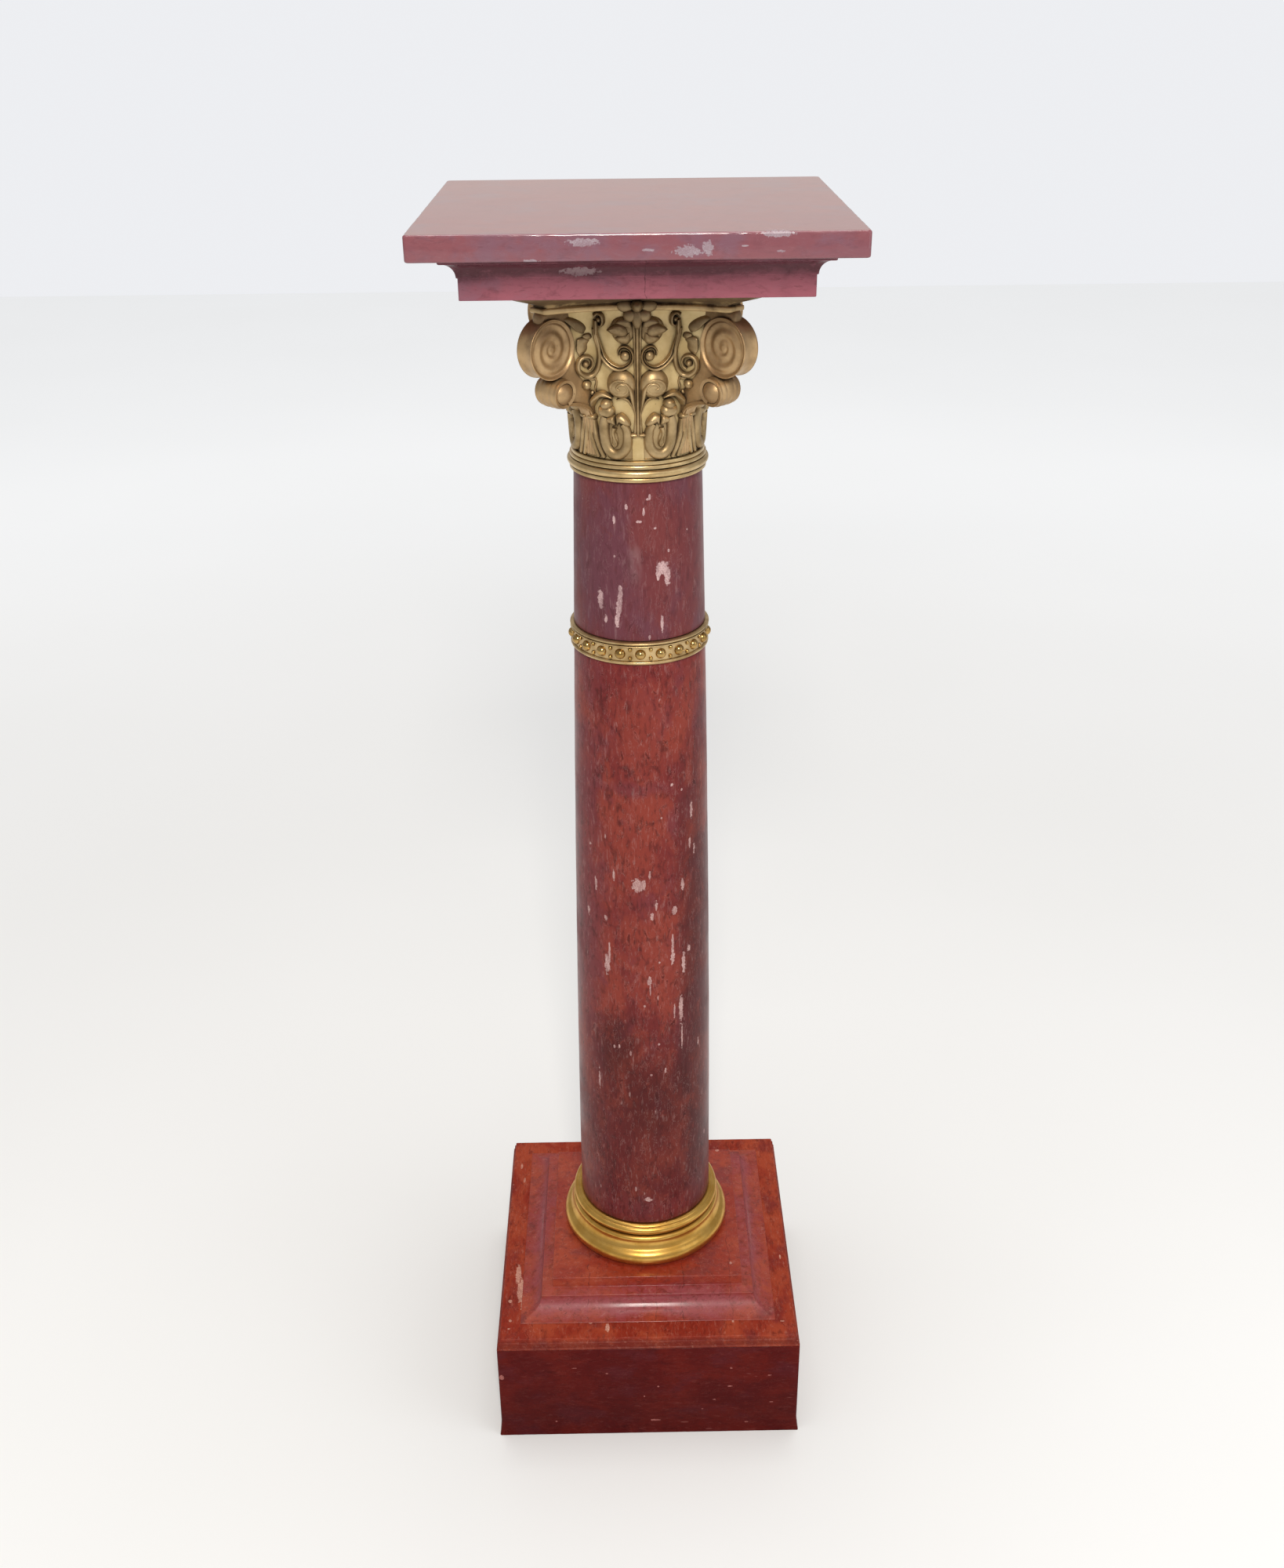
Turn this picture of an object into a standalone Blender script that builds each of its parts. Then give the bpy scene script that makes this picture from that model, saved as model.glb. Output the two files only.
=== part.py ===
"""Marble pedestal column with gilt bronze mounts: a square moulded top, a capital with four corner volutes,
a round tapering shaft in two drums with a beaded ring between them, a turned bronze base and a square plinth.

Metres, +Z up, the front faces -Y. The origin is on the floor, under the middle of the plinth.
"""

import math

import bmesh
import bpy
from mathutils import Matrix, Vector

# Gap between pieces that rest on each other.
JOINT_GAP = 0.0003

# Marble plinth: a square block, a lid with two thin steps, and a plate on a hollow moulding.
BLOCK_HALF_WIDTH = 0.1412
BLOCK_FLARE = 0.0020
BLOCK_FLARE_HEIGHT = 0.016
BLOCK_HEIGHT = 0.1092
LID_HEIGHT = 0.0117
LID_STEP = 0.0010
PLATE_MARGIN = 0.0103
PLATE_HEIGHT = 0.0124
PLATE_LEDGE = 0.0104
PLINTH_HOLLOW_WIDTH = 0.0198
PLINTH_HOLLOW_HEIGHT = 0.0148

# Turned bronze base: reaches are beyond the foot of the shaft.
BASE_HEIGHT = 0.0407
BASE_TORUS_REACH = 0.0172
BASE_TORUS_HEIGHT = 0.0165
BASE_FILLET_REACH = 0.0033
BASE_ROLL_REACH = 0.0076
BASE_CREST_REACH = 0.0084
BASE_ROLL_HEIGHT = 0.0080
BASE_CREST_HEIGHT = 0.0075

# Shaft: two drums that share one swelling taper.
SHAFT_FOOT_RADIUS = 0.0623
SHAFT_NECK_RADIUS = 0.0501
SHAFT_SWELL = 1.6
LOWER_DRUM_HEIGHT = 0.5713
UPPER_DRUM_HEIGHT = 0.1266

# Beaded ring between the drums: reaches are beyond the shaft at its foot.
BEAD_RING_HEIGHT = 0.0192
BEAD_RIM_REACH = 0.0021
BEAD_RIM_HEIGHT = 0.0026
BEAD_BAND_REACH = 0.0006
BEAD_BAND_HEIGHT = 0.0120
BEAD_COUNT = 21
BEAD_RADIUS = 0.0058
BEAD_STAND_OUT = 0.0046

# Neck ring under the capital: reaches are beyond the neck of the shaft.
NECK_RING_HEIGHT = 0.0160
NECK_LIP_REACH = 0.0028
NECK_LIP_HEIGHT = 0.0036
NECK_ROLL_REACH = 0.0047
NECK_ROLL_HEIGHT = 0.0060
NECK_BAND_REACH = 0.0026

# Capital: a flaring bell under an abacus with hollow sides and cut corners.
CAPITAL_HEIGHT = 0.1290
ABACUS_HEIGHT = 0.0183
ABACUS_BAND_HEIGHT = 0.0060
ABACUS_CORNER_REACH = 0.0995
ABACUS_SIDE_REACH = 0.0600
ABACUS_FLARE = 0.0140
ABACUS_CORNER_CUT = 0.0140
BELL_SET_IN = 0.0012
BELL_LIP_RADIUS = 0.0585
FILLET_START = 27.0
FILLET_REACH = 0.0260

# Corner volutes of the capital and the leaf curls under them.
VOLUTE_RADIUS = 0.0212
VOLUTE_THICKNESS = 0.0148
VOLUTE_SET_IN = 0.0075
VOLUTE_RIM = 0.0026
VOLUTE_DISH = 0.0012
CURL_RADIUS = 0.0116
CURL_HALF_WIDTH = 0.0120
CURL_SET_IN = 0.0080

# Upright leaves beside each stalk: widths are degrees round the bell, the top is a share of its height.
# All carving starts a little above the foot of the bell.
CARVING_FOOT = 0.012
LEAF_TOP = 0.30
LEAF_INNER_EDGE = 7.0
LEAF_OUTER_EDGE = 26.0
LEAF_SPREAD = 9.0
LEAF_LIFT = 0.0036
LEAF_CURL = 0.0075
CARVING_ROOT = 0.0025

# Other carving on the bell. A place is degrees from the middle of a side and a share of the bell's
# height; a size is half the width, half the depth and half the height.
FLOWER_SIZE = (0.0062, 0.0060, 0.0078)
KNOT_PLACE = (0.0, 0.175)
KNOT_SIZE = (0.0062, 0.0042, 0.0026)
BUD_PLACE = (12.8, 0.868)
BUD_SIZE = (0.0086, 0.0050, 0.0074)
KNOB_PLACE = (12.3, 0.517)
KNOB_SIZE = (0.0100, 0.0085, 0.0102)
SIDE_BOSS_PLACE = (42.5, 0.500)
SIDE_BOSS_SIZE = (0.0040, 0.0042, 0.0036)
TIP_BOSS_PLACE = (25.5, 0.385)
TIP_BOSS_SIZE = (0.0056, 0.0060, 0.0050)
STALK_RADII = (0.0022, 0.0030, 0.0022, 0.0026, 0.0034)
STALK_LIFT = 0.0008
SCROLL_EYE = (10.2, 0.700)
SCROLL_TIP = (30.2, 0.918)
SCROLL_RADIUS = 0.0017
TENDRIL_EYE = (37.5, 0.645)
TENDRIL_RADIUS = 0.0016
SCROLL_LIFT = 0.0006

# Square moulding and slab on top.
MOULDING_HEIGHT = 0.0289
MOULDING_HALF_WIDTH = 0.1194
MOULDING_FASCIA = 0.0148
MOULDING_COVE_WIDTH = 0.0112
MOULDING_COVE_HEIGHT = 0.0096
SLAB_HALF_WIDTH = 0.1500
SLAB_HEIGHT = 0.0172
SLAB_EASING = 0.0012

# Facets of the round pieces, and the share of the carving's facets that is kept.
ROUND_SIDES = 32
VOLUTE_SIDES = 18
CARVING_FACET_SHARE = 0.52

# Heights of the joints, from the floor up.
LID_FOOT = BLOCK_HEIGHT + JOINT_GAP
PLATE_FOOT = LID_FOOT + LID_HEIGHT + JOINT_GAP
PLATE_TOP = PLATE_FOOT + PLINTH_HOLLOW_HEIGHT + PLATE_HEIGHT
BASE_FOOT = PLATE_TOP + JOINT_GAP
SHAFT_FOOT = BASE_FOOT + BASE_HEIGHT + JOINT_GAP
BEAD_RING_FOOT = SHAFT_FOOT + LOWER_DRUM_HEIGHT + JOINT_GAP
UPPER_DRUM_FOOT = BEAD_RING_FOOT + BEAD_RING_HEIGHT + JOINT_GAP
NECK_RING_FOOT = UPPER_DRUM_FOOT + UPPER_DRUM_HEIGHT + JOINT_GAP
CAPITAL_FOOT = NECK_RING_FOOT + NECK_RING_HEIGHT + JOINT_GAP
MOULDING_FOOT = CAPITAL_FOOT + CAPITAL_HEIGHT + JOINT_GAP
SLAB_FOOT = MOULDING_FOOT + MOULDING_HEIGHT + JOINT_GAP
ABACUS_FOOT = CAPITAL_FOOT + CAPITAL_HEIGHT - ABACUS_HEIGHT


def clear_scene():
    for item in list(bpy.data.objects):
        bpy.data.objects.remove(item, do_unlink=True)


def make_material(name, colour, roughness, metallic):
    made = bpy.data.materials.new(name)
    made.use_nodes = True
    shader = made.node_tree.nodes["Principled BSDF"]
    shader.inputs["Base Color"].default_value = (*colour, 1.0)
    shader.inputs["Roughness"].default_value = roughness
    shader.inputs["Metallic"].default_value = metallic
    return made


def make_collection(name):
    made = bpy.data.collections.new(name)
    bpy.context.scene.collection.children.link(made)
    return made


def place(name, mesh, collection):
    made = bpy.data.objects.new(name, mesh)
    collection.objects.link(made)
    return made


def arc(centre, radii, start, end, steps):
    """Points of an elliptic arc, angles in degrees from +X, both ends included."""
    points = []
    for i in range(steps + 1):
        angle = math.radians(start + (end - start) * i / steps)
        points.append((centre[0] + radii[0] * math.cos(angle), centre[1] + radii[1] * math.sin(angle)))
    return points


def profile_mesh(name, outline):
    """Open profile from the axis, down the outer side, back to the axis."""
    points = [(0.0, outline[0][1]), *outline, (0.0, outline[-1][1])]
    mesh = bpy.data.meshes.new(name)
    vertices = [(x, 0.0, z) for x, z in points]
    edges = [(i, i + 1) for i in range(len(points) - 1)]
    mesh.from_pydata(vertices, edges, [])
    return mesh


def add_screw(item, steps):
    screw = item.modifiers.new("Turned", "SCREW")
    screw.angle = 2.0 * math.pi
    screw.steps = steps
    screw.render_steps = steps
    screw.use_merge_vertices = True
    screw.merge_threshold = 0.00001
    screw.use_smooth_shade = steps > 4


def turned_piece(name, outline, collection, material, foot):
    """Round piece from a profile of (radius, height above its foot), top to bottom."""
    mesh = profile_mesh(name, outline)
    mesh.materials.append(material)
    item = place(name, mesh, collection)
    item.location.z = foot
    add_screw(item, ROUND_SIDES)
    return item


def square_piece(name, outline, collection, material, foot):
    """Square piece with mitred corners, from a profile of (half width, height above its foot)."""
    mesh = profile_mesh(name, [(x * math.sqrt(2.0), z) for x, z in outline])
    mesh.materials.append(material)
    item = place(name, mesh, collection)
    item.location.z = foot
    item.rotation_euler.z = math.pi / 4.0
    add_screw(item, 4)
    return item


def shaft_radius(z):
    rise = (z - SHAFT_FOOT) / (NECK_RING_FOOT - JOINT_GAP - SHAFT_FOOT)
    return SHAFT_FOOT_RADIUS - (SHAFT_FOOT_RADIUS - SHAFT_NECK_RADIUS) * max(rise, 0.0) ** SHAFT_SWELL


def bell_radius(z):
    """Radius of the capital's bell, which flares towards its lip under the abacus."""
    foot = SHAFT_NECK_RADIUS - BELL_SET_IN
    share = (z - CAPITAL_FOOT) / (ABACUS_FOOT - CAPITAL_FOOT)
    return foot + (BELL_LIP_RADIUS - foot) * max(share, 0.0) ** 2


def corner_swell(degrees, share):
    """How far the ground of the carving stands out from the round bell towards the corner webs."""
    beyond = max(abs(degrees) - FILLET_START, 0.0) / (45.0 - FILLET_START)
    rise = min(max((share - 0.42) / 0.16, 0.0), 1.0)
    return FILLET_REACH * beyond ** 2 * rise


def on_bell(degrees, share, lift):
    """Point on the front of the bell: degrees to the side, share of its height, lift off its surface."""
    z = CAPITAL_FOOT + share * (ABACUS_FOOT - CAPITAL_FOOT)
    radius = bell_radius(z) + corner_swell(degrees, share) + lift
    angle = math.radians(degrees)
    return Vector((radius * math.sin(angle), -radius * math.cos(angle), z))


def corner_point(reach, z):
    """Point on the diagonal of the front right corner."""
    return Vector((reach / math.sqrt(2.0), -reach / math.sqrt(2.0), z))


def quarter_turns(name, mesh, collection, matrix):
    """The same carved form on each of the four sides."""
    for side in range(4):
        item = place(f"{name}_{side}", mesh, collection)
        item.matrix_world = Matrix.Rotation(side * math.pi / 2.0, 4, "Z") @ matrix


def ball_mesh(name, sides, rings):
    mesh = bpy.data.meshes.new(name)
    form = bmesh.new()
    bmesh.ops.create_uvsphere(form, u_segments=sides, v_segments=rings, radius=1.0)
    form.to_mesh(mesh)
    form.free()
    return mesh


def carve_ball(name, mesh, collection, spot, size, side):
    """Rounded boss on the bell at (degrees, share); side is -1 left and 1 right of the stalk."""
    degrees = side * spot[0]
    facing = Matrix.Rotation(math.radians(degrees), 4, "Z")
    matrix = Matrix.Translation(on_bell(degrees, spot[1], 0.0)) @ facing @ Matrix.Diagonal((*size, 1.0))
    quarter_turns(name, mesh, collection, matrix)


def tube_mesh(name, points, depths, resolution):
    """Closed swept stem along the points, as a mesh; each point has its own radius."""
    curve = bpy.data.curves.new(name, "CURVE")
    curve.dimensions = "3D"
    curve.bevel_depth = 1.0
    curve.bevel_resolution = resolution
    curve.use_fill_caps = True
    spline = curve.splines.new("POLY")
    spline.points.add(len(points) - 1)
    for knot, point, depth in zip(spline.points, points, depths):
        knot.co = (*point, 1.0)
        knot.radius = depth
    guide = bpy.data.objects.new(name, curve)
    bpy.context.scene.collection.objects.link(guide)
    graph = bpy.context.evaluated_depsgraph_get()
    mesh = bpy.data.meshes.new_from_object(guide.evaluated_get(graph))
    bpy.data.objects.remove(guide, do_unlink=True)
    form = bmesh.new()
    form.from_mesh(mesh)
    bmesh.ops.remove_doubles(form, verts=form.verts, dist=0.000001)
    bmesh.ops.recalc_face_normals(form, faces=form.faces)
    form.to_mesh(mesh)
    form.free()
    return mesh


def spiral(centre, start, turn, steps, radii):
    """Points (degrees, share) that wind round a centre; radii in metres shrink from first to last."""
    height = ABACUS_FOOT - CAPITAL_FOOT
    girth = bell_radius(CAPITAL_FOOT + centre[1] * height)
    points = []
    for i in range(steps + 1):
        step = i / steps
        angle = math.radians(start + turn * step)
        radius = radii[0] + (radii[1] - radii[0]) * step
        across = math.degrees(radius * math.cos(angle) / girth)
        points.append((centre[0] + across, centre[1] + radius * math.sin(angle) / height))
    return points


def abacus_mesh():
    """Block with hollow sides and cut corners: a plain band under a hollow flare."""
    flare_height = ABACUS_HEIGHT - ABACUS_BAND_HEIGHT
    flare = arc((ABACUS_FLARE, 0.0), (ABACUS_FLARE, flare_height), 180.0, 90.0, 3)
    levels = [(0.0, 0.0), *[(x, ABACUS_BAND_HEIGHT + z) for x, z in flare]]
    form = bmesh.new()
    loops = []
    for spread, height in levels:
        corner = ABACUS_CORNER_REACH + spread
        cut = ABACUS_CORNER_CUT / 2.0
        half_chord = (corner - cut) / math.sqrt(2.0)
        hollow = (corner + cut) / math.sqrt(2.0) - (ABACUS_SIDE_REACH + spread * 0.7)
        radius = (half_chord ** 2 + hollow ** 2) / (2.0 * hollow)
        sweep = math.asin(half_chord / radius)
        middle = (corner + cut) / math.sqrt(2.0) - hollow + radius
        loop = []
        for side in range(4):
            turn = Matrix.Rotation(side * math.pi / 2.0, 4, "Z")
            for i in range(7):
                angle = sweep * (i / 3.0 - 1.0)
                point = Vector((radius * math.sin(angle), radius * math.cos(angle) - middle, height))
                loop.append(form.verts.new(turn @ point))
        loops.append(loop)
    for lower, upper in zip(loops, loops[1:]):
        count = len(lower)
        for i in range(count):
            j = (i + 1) % count
            form.faces.new((lower[i], lower[j], upper[j], upper[i]))
    form.faces.new(list(reversed(loops[0])))
    form.faces.new(loops[-1])
    bmesh.ops.recalc_face_normals(form, faces=form.faces)
    mesh = bpy.data.meshes.new("abacus")
    form.to_mesh(mesh)
    form.free()
    return mesh


def extruded_mesh(name, outline, half_depth):
    """Flat outline in the XZ plane given a thickness along Y."""
    form = bmesh.new()
    near = [form.verts.new((x, -half_depth, z)) for x, z in outline]
    far = [form.verts.new((x, half_depth, z)) for x, z in outline]
    count = len(outline)
    form.faces.new(near)
    form.faces.new(list(reversed(far)))
    for i in range(count):
        j = (i + 1) % count
        form.faces.new((near[i], far[i], far[j], near[j]))
    bmesh.ops.recalc_face_normals(form, faces=form.faces)
    mesh = bpy.data.meshes.new(name)
    form.to_mesh(mesh)
    form.free()
    return mesh


def fillet_mesh(name, foot_share):
    """Solid corner of the bell under the abacus, narrowing in plan towards the volute."""
    form = bmesh.new()
    loops = []
    for share in (foot_share, foot_share + 0.14, 1.01):
        z = CAPITAL_FOOT + share * (ABACUS_FOOT - CAPITAL_FOOT)
        tuck = 0.75 if share == foot_share else 1.0
        loop = [Vector((0.45 * bell_radius(z), -0.45 * bell_radius(z), z))]
        for degrees in (24.0, 31.0, 36.0, 39.5, 50.5, 54.0, 59.0, 66.0):
            from_middle = degrees if degrees < 45.0 else 90.0 - degrees
            lift = corner_swell(from_middle, 1.0) * tuck - 0.0004
            radius = bell_radius(z) + lift
            angle = math.radians(degrees)
            loop.append(Vector((radius * math.sin(angle), -radius * math.cos(angle), z)))
        loops.append([form.verts.new(point) for point in loop])
    for lower, upper in zip(loops, loops[1:]):
        for i in range(len(lower)):
            j = (i + 1) % len(lower)
            form.faces.new((lower[i], lower[j], upper[j], upper[i]))
    form.faces.new(list(reversed(loops[0])))
    form.faces.new(loops[-1])
    bmesh.ops.recalc_face_normals(form, faces=form.faces)
    mesh = bpy.data.meshes.new(name)
    form.to_mesh(mesh)
    form.free()
    return mesh


def build_corner_forms(carving):
    """Volute, leaf curl, leaf and the web behind them on each corner of the capital."""
    reach = ABACUS_CORNER_REACH - VOLUTE_SET_IN
    volute_height = ABACUS_FOOT - VOLUTE_RADIUS - 0.0035
    half = VOLUTE_THICKNESS / 2.0
    face = [
        (0.16 * VOLUTE_RADIUS, half),
        (0.30 * VOLUTE_RADIUS, half - VOLUTE_DISH),
        (VOLUTE_RADIUS - VOLUTE_RIM, half - VOLUTE_DISH),
        (VOLUTE_RADIUS - 0.6 * VOLUTE_RIM, half),
        (VOLUTE_RADIUS, half - 0.0006),
    ]
    outline = face + [(x, -z) for x, z in reversed(face)]
    upright = Matrix.Rotation(math.pi / 2.0, 4, "X")
    corner_turn = Matrix.Rotation(-math.pi / 4.0, 4, "Z")
    disc = profile_mesh("volute", outline)
    for side in range(4):
        item = place(f"volute_{side}", disc, carving)
        turn = Matrix.Rotation(side * math.pi / 2.0, 4, "Z")
        item.matrix_world = turn @ Matrix.Translation(corner_point(reach, volute_height)) @ corner_turn @ upright
        add_screw(item, VOLUTE_SIDES)

    curl_reach = reach - CURL_SET_IN
    curl_height = volute_height - VOLUTE_RADIUS - CURL_RADIUS + 0.0010
    foot = bell_radius(CAPITAL_FOOT)
    rise = curl_height - CURL_RADIUS
    outline = [
        (0.7 * foot, ABACUS_FOOT + 0.0020),
        (reach + 0.30 * VOLUTE_RADIUS, ABACUS_FOOT + 0.0020),
        (reach + 0.30 * VOLUTE_RADIUS, volute_height + 0.5 * VOLUTE_RADIUS),
        (curl_reach, curl_height),
        (curl_reach - 0.6 * CURL_RADIUS, rise + 0.0024),
        (foot + 0.35 * (curl_reach - foot), rise - 0.0016),
        (foot + 0.10 * (curl_reach - foot), rise - 0.0110),
        (0.7 * foot, rise - 0.0220),
    ]
    web = extruded_mesh("volute_web", outline, 0.36 * VOLUTE_THICKNESS)
    quarter_turns("volute_web", web, carving, corner_turn)
    quarter_turns("corner_fillet", fillet_mesh("corner_fillet", 0.50), carving, Matrix.Identity(4))

    curl = ball_mesh("leaf_curl", 10, 6)
    curl_size = Matrix.Diagonal((CURL_RADIUS, CURL_RADIUS, CURL_HALF_WIDTH, 1.0))
    curl_place = Matrix.Translation(corner_point(curl_reach, curl_height)) @ corner_turn
    quarter_turns("leaf_curl", curl, carving, curl_place @ upright @ curl_size)

    path = [
        on_bell(45.0, CARVING_FOOT, 0.000),
        on_bell(45.0, 0.20, 0.001),
        corner_point(foot + 0.22 * (curl_reach - foot), rise - 0.0020),
        corner_point(foot + 0.62 * (curl_reach - foot), rise + 0.0060),
        corner_point(curl_reach, curl_height),
    ]
    leaf = tube_mesh("corner_leaf", path, [0.0055, 0.0065, 0.0085, 0.0088, 0.0070], 1)
    quarter_turns("corner_leaf", leaf, carving, Matrix.Identity(4))


def leaf_mesh(name, side):
    """Upright leaf on the bell: a raised border round a dished middle, its tip curling forward."""
    columns = 6
    rows = 5
    form = bmesh.new()
    grids = []
    for depth in (1.0, 0.0):
        grid = []
        for j in range(rows + 1):
            v = j / rows
            share = CARVING_FOOT + (LEAF_TOP - CARVING_FOOT) * v
            inner = LEAF_INNER_EDGE + 1.5 * v
            spread = math.sin(min(v, 0.8) * math.pi / 1.6) - 0.9 * max(v - 0.7, 0.0) / 0.3
            outer = LEAF_OUTER_EDGE + LEAF_SPREAD * spread
            row = []
            for i in range(columns + 1):
                u = 2.0 * i / columns - 1.0
                degrees = inner + (outer - inner) * (u + 1.0) / 2.0
                border = LEAF_LIFT * (1.0 - u ** 6) * (0.55 + 0.45 * abs(u))
                curl = LEAF_CURL * max(v - 0.55, 0.0) / 0.45 * (1.0 - 0.7 * u * u)
                lift = (border + curl) * depth - CARVING_ROOT * (1.0 - depth)
                row.append(form.verts.new(on_bell(side * degrees, share, lift)))
            grid.append(row)
        grids.append(grid)
    top, back = grids
    for grid in grids:
        for j in range(rows):
            for i in range(columns):
                form.faces.new((grid[j][i], grid[j][i + 1], grid[j + 1][i + 1], grid[j + 1][i]))
    for j in range(rows):
        form.faces.new((top[j][0], top[j + 1][0], back[j + 1][0], back[j][0]))
        form.faces.new((top[j][-1], top[j + 1][-1], back[j + 1][-1], back[j][-1]))
    for i in range(columns):
        form.faces.new((top[0][i], top[0][i + 1], back[0][i + 1], back[0][i]))
        form.faces.new((top[-1][i], top[-1][i + 1], back[-1][i + 1], back[-1][i]))
    bmesh.ops.recalc_face_normals(form, faces=form.faces)
    mesh = bpy.data.meshes.new(name)
    form.to_mesh(mesh)
    form.free()
    return mesh


def build_side_forms(carving):
    """Stalk, scrolls, knobs, buds and leaves carved on each side of the bell."""
    shares = (CARVING_FOOT, KNOT_PLACE[1], 0.5, 0.8, 1.02)
    stalk_points = [on_bell(0.0, share, STALK_LIFT) for share in shares]
    stalk = tube_mesh("stalk", stalk_points, STALK_RADII, 1)
    quarter_turns("stalk", stalk, carving, Matrix.Identity(4))

    small = ball_mesh("small_boss", 6, 4)
    boss = ball_mesh("boss", 8, 5)
    knob = ball_mesh("knob", 10, 6)

    flower = Vector((0.0, -ABACUS_SIDE_REACH, ABACUS_FOOT + ABACUS_BAND_HEIGHT / 2.0))
    flower_size = Matrix.Diagonal((*FLOWER_SIZE, 1.0))
    quarter_turns("flower", boss, carving, Matrix.Translation(flower) @ flower_size)
    carve_ball("knot", small, carving, KNOT_PLACE, KNOT_SIZE, 1.0)

    for side in (-1.0, 1.0):
        mark = "right" if side > 0.0 else "left"
        carve_ball(f"bud_{mark}", boss, carving, BUD_PLACE, BUD_SIZE, side)
        carve_ball(f"knob_{mark}", knob, carving, KNOB_PLACE, KNOB_SIZE, side)
        carve_ball(f"side_boss_{mark}", small, carving, SIDE_BOSS_PLACE, SIDE_BOSS_SIZE, side)
        carve_ball(f"tip_boss_{mark}", small, carving, TIP_BOSS_PLACE, TIP_BOSS_SIZE, side)
        quarter_turns(f"leaf_{mark}", leaf_mesh(f"leaf_{mark}", side), carving, Matrix.Identity(4))

        eye = spiral(SCROLL_EYE, -60.0, 330.0, 7, (0.0030, 0.0090))
        sweep = [(19.5, 0.645), (26.5, 0.690), (30.5, 0.755), (32.8, 0.815), (34.2, 0.870)]
        tip = spiral(SCROLL_TIP, 10.0, 260.0, 4, (0.0040, 0.0034))
        places = [*eye, *sweep, *tip]
        points = [on_bell(side * degrees, share, SCROLL_LIFT) for degrees, share in places]
        scroll = tube_mesh(f"scroll_{mark}", points, [SCROLL_RADIUS] * len(points), 0)
        quarter_turns(f"scroll_{mark}", scroll, carving, Matrix.Identity(4))

        stem = [(33.6, 0.850), (32.0, 0.760), (31.6, 0.680)]
        places = [*stem, *spiral(TENDRIL_EYE, -150.0, 330.0, 7, (0.0082, 0.0044))]
        points = [on_bell(side * degrees, share, SCROLL_LIFT) for degrees, share in places]
        tendril = tube_mesh(f"tendril_{mark}", points, [TENDRIL_RADIUS] * len(points), 0)
        quarter_turns(f"tendril_{mark}", tendril, carving, Matrix.Identity(4))


def build_capital(collection, carving, material):
    height = ABACUS_FOOT - CAPITAL_FOOT
    steps = 6
    outline = []
    for i in range(steps + 1):
        z = height * (1.0 - i / steps)
        outline.append((bell_radius(CAPITAL_FOOT + z), z))
    outline[0] = (outline[0][0], height + ABACUS_BAND_HEIGHT / 2.0)
    capital = turned_piece("capital", outline, collection, material, CAPITAL_FOOT)
    abacus = place("abacus", abacus_mesh(), carving)
    abacus.location.z = ABACUS_FOOT
    build_corner_forms(carving)
    build_side_forms(carving)
    for item in carving.objects:
        item.hide_render = True
        item.display_type = "WIRE"
    union = capital.modifiers.new("Carving", "BOOLEAN")
    union.operation = "UNION"
    union.solver = "EXACT"
    union.operand_type = "COLLECTION"
    union.collection = carving
    union.use_self = True
    thin = capital.modifiers.new("Fewer facets", "DECIMATE")
    thin.ratio = CARVING_FACET_SHARE
    weld = capital.modifiers.new("No slivers", "WELD")
    weld.merge_threshold = 0.00002
    return capital


def build_beaded_ring(collection, beads, material):
    radius = shaft_radius(BEAD_RING_FOOT)
    rim = radius + BEAD_RIM_REACH
    band = radius + BEAD_BAND_REACH
    top = BEAD_RING_HEIGHT
    margin = (BEAD_RING_HEIGHT - BEAD_BAND_HEIGHT) / 2.0
    outline = [
        (rim, top),
        (rim, top - BEAD_RIM_HEIGHT),
        (band, top - margin),
        (band, margin),
        (rim, BEAD_RIM_HEIGHT),
        (rim, 0.0),
    ]
    ring = turned_piece("beaded_ring", outline, collection, material, BEAD_RING_FOOT)
    bead = ball_mesh("bead", 6, 4)
    size = Matrix.Diagonal((BEAD_RADIUS, BEAD_RADIUS, BEAD_RADIUS, 1.0))
    reach = radius + BEAD_STAND_OUT - BEAD_RADIUS
    centre = Matrix.Translation((0.0, -reach, BEAD_RING_FOOT + BEAD_RING_HEIGHT / 2.0))
    for i in range(BEAD_COUNT):
        item = place(f"bead_{i}", bead, beads)
        item.matrix_world = Matrix.Rotation(2.0 * math.pi * i / BEAD_COUNT, 4, "Z") @ centre @ size
        item.hide_render = True
        item.display_type = "WIRE"
    union = ring.modifiers.new("Beads", "BOOLEAN")
    union.operation = "UNION"
    union.solver = "EXACT"
    union.operand_type = "COLLECTION"
    union.collection = beads
    return ring


def build_drum(name, foot, height, collection, material, steps):
    outline = []
    for i in range(steps + 1):
        z = height * (1.0 - i / steps)
        outline.append((shaft_radius(foot + z), z))
    return turned_piece(name, outline, collection, material, foot)


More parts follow.
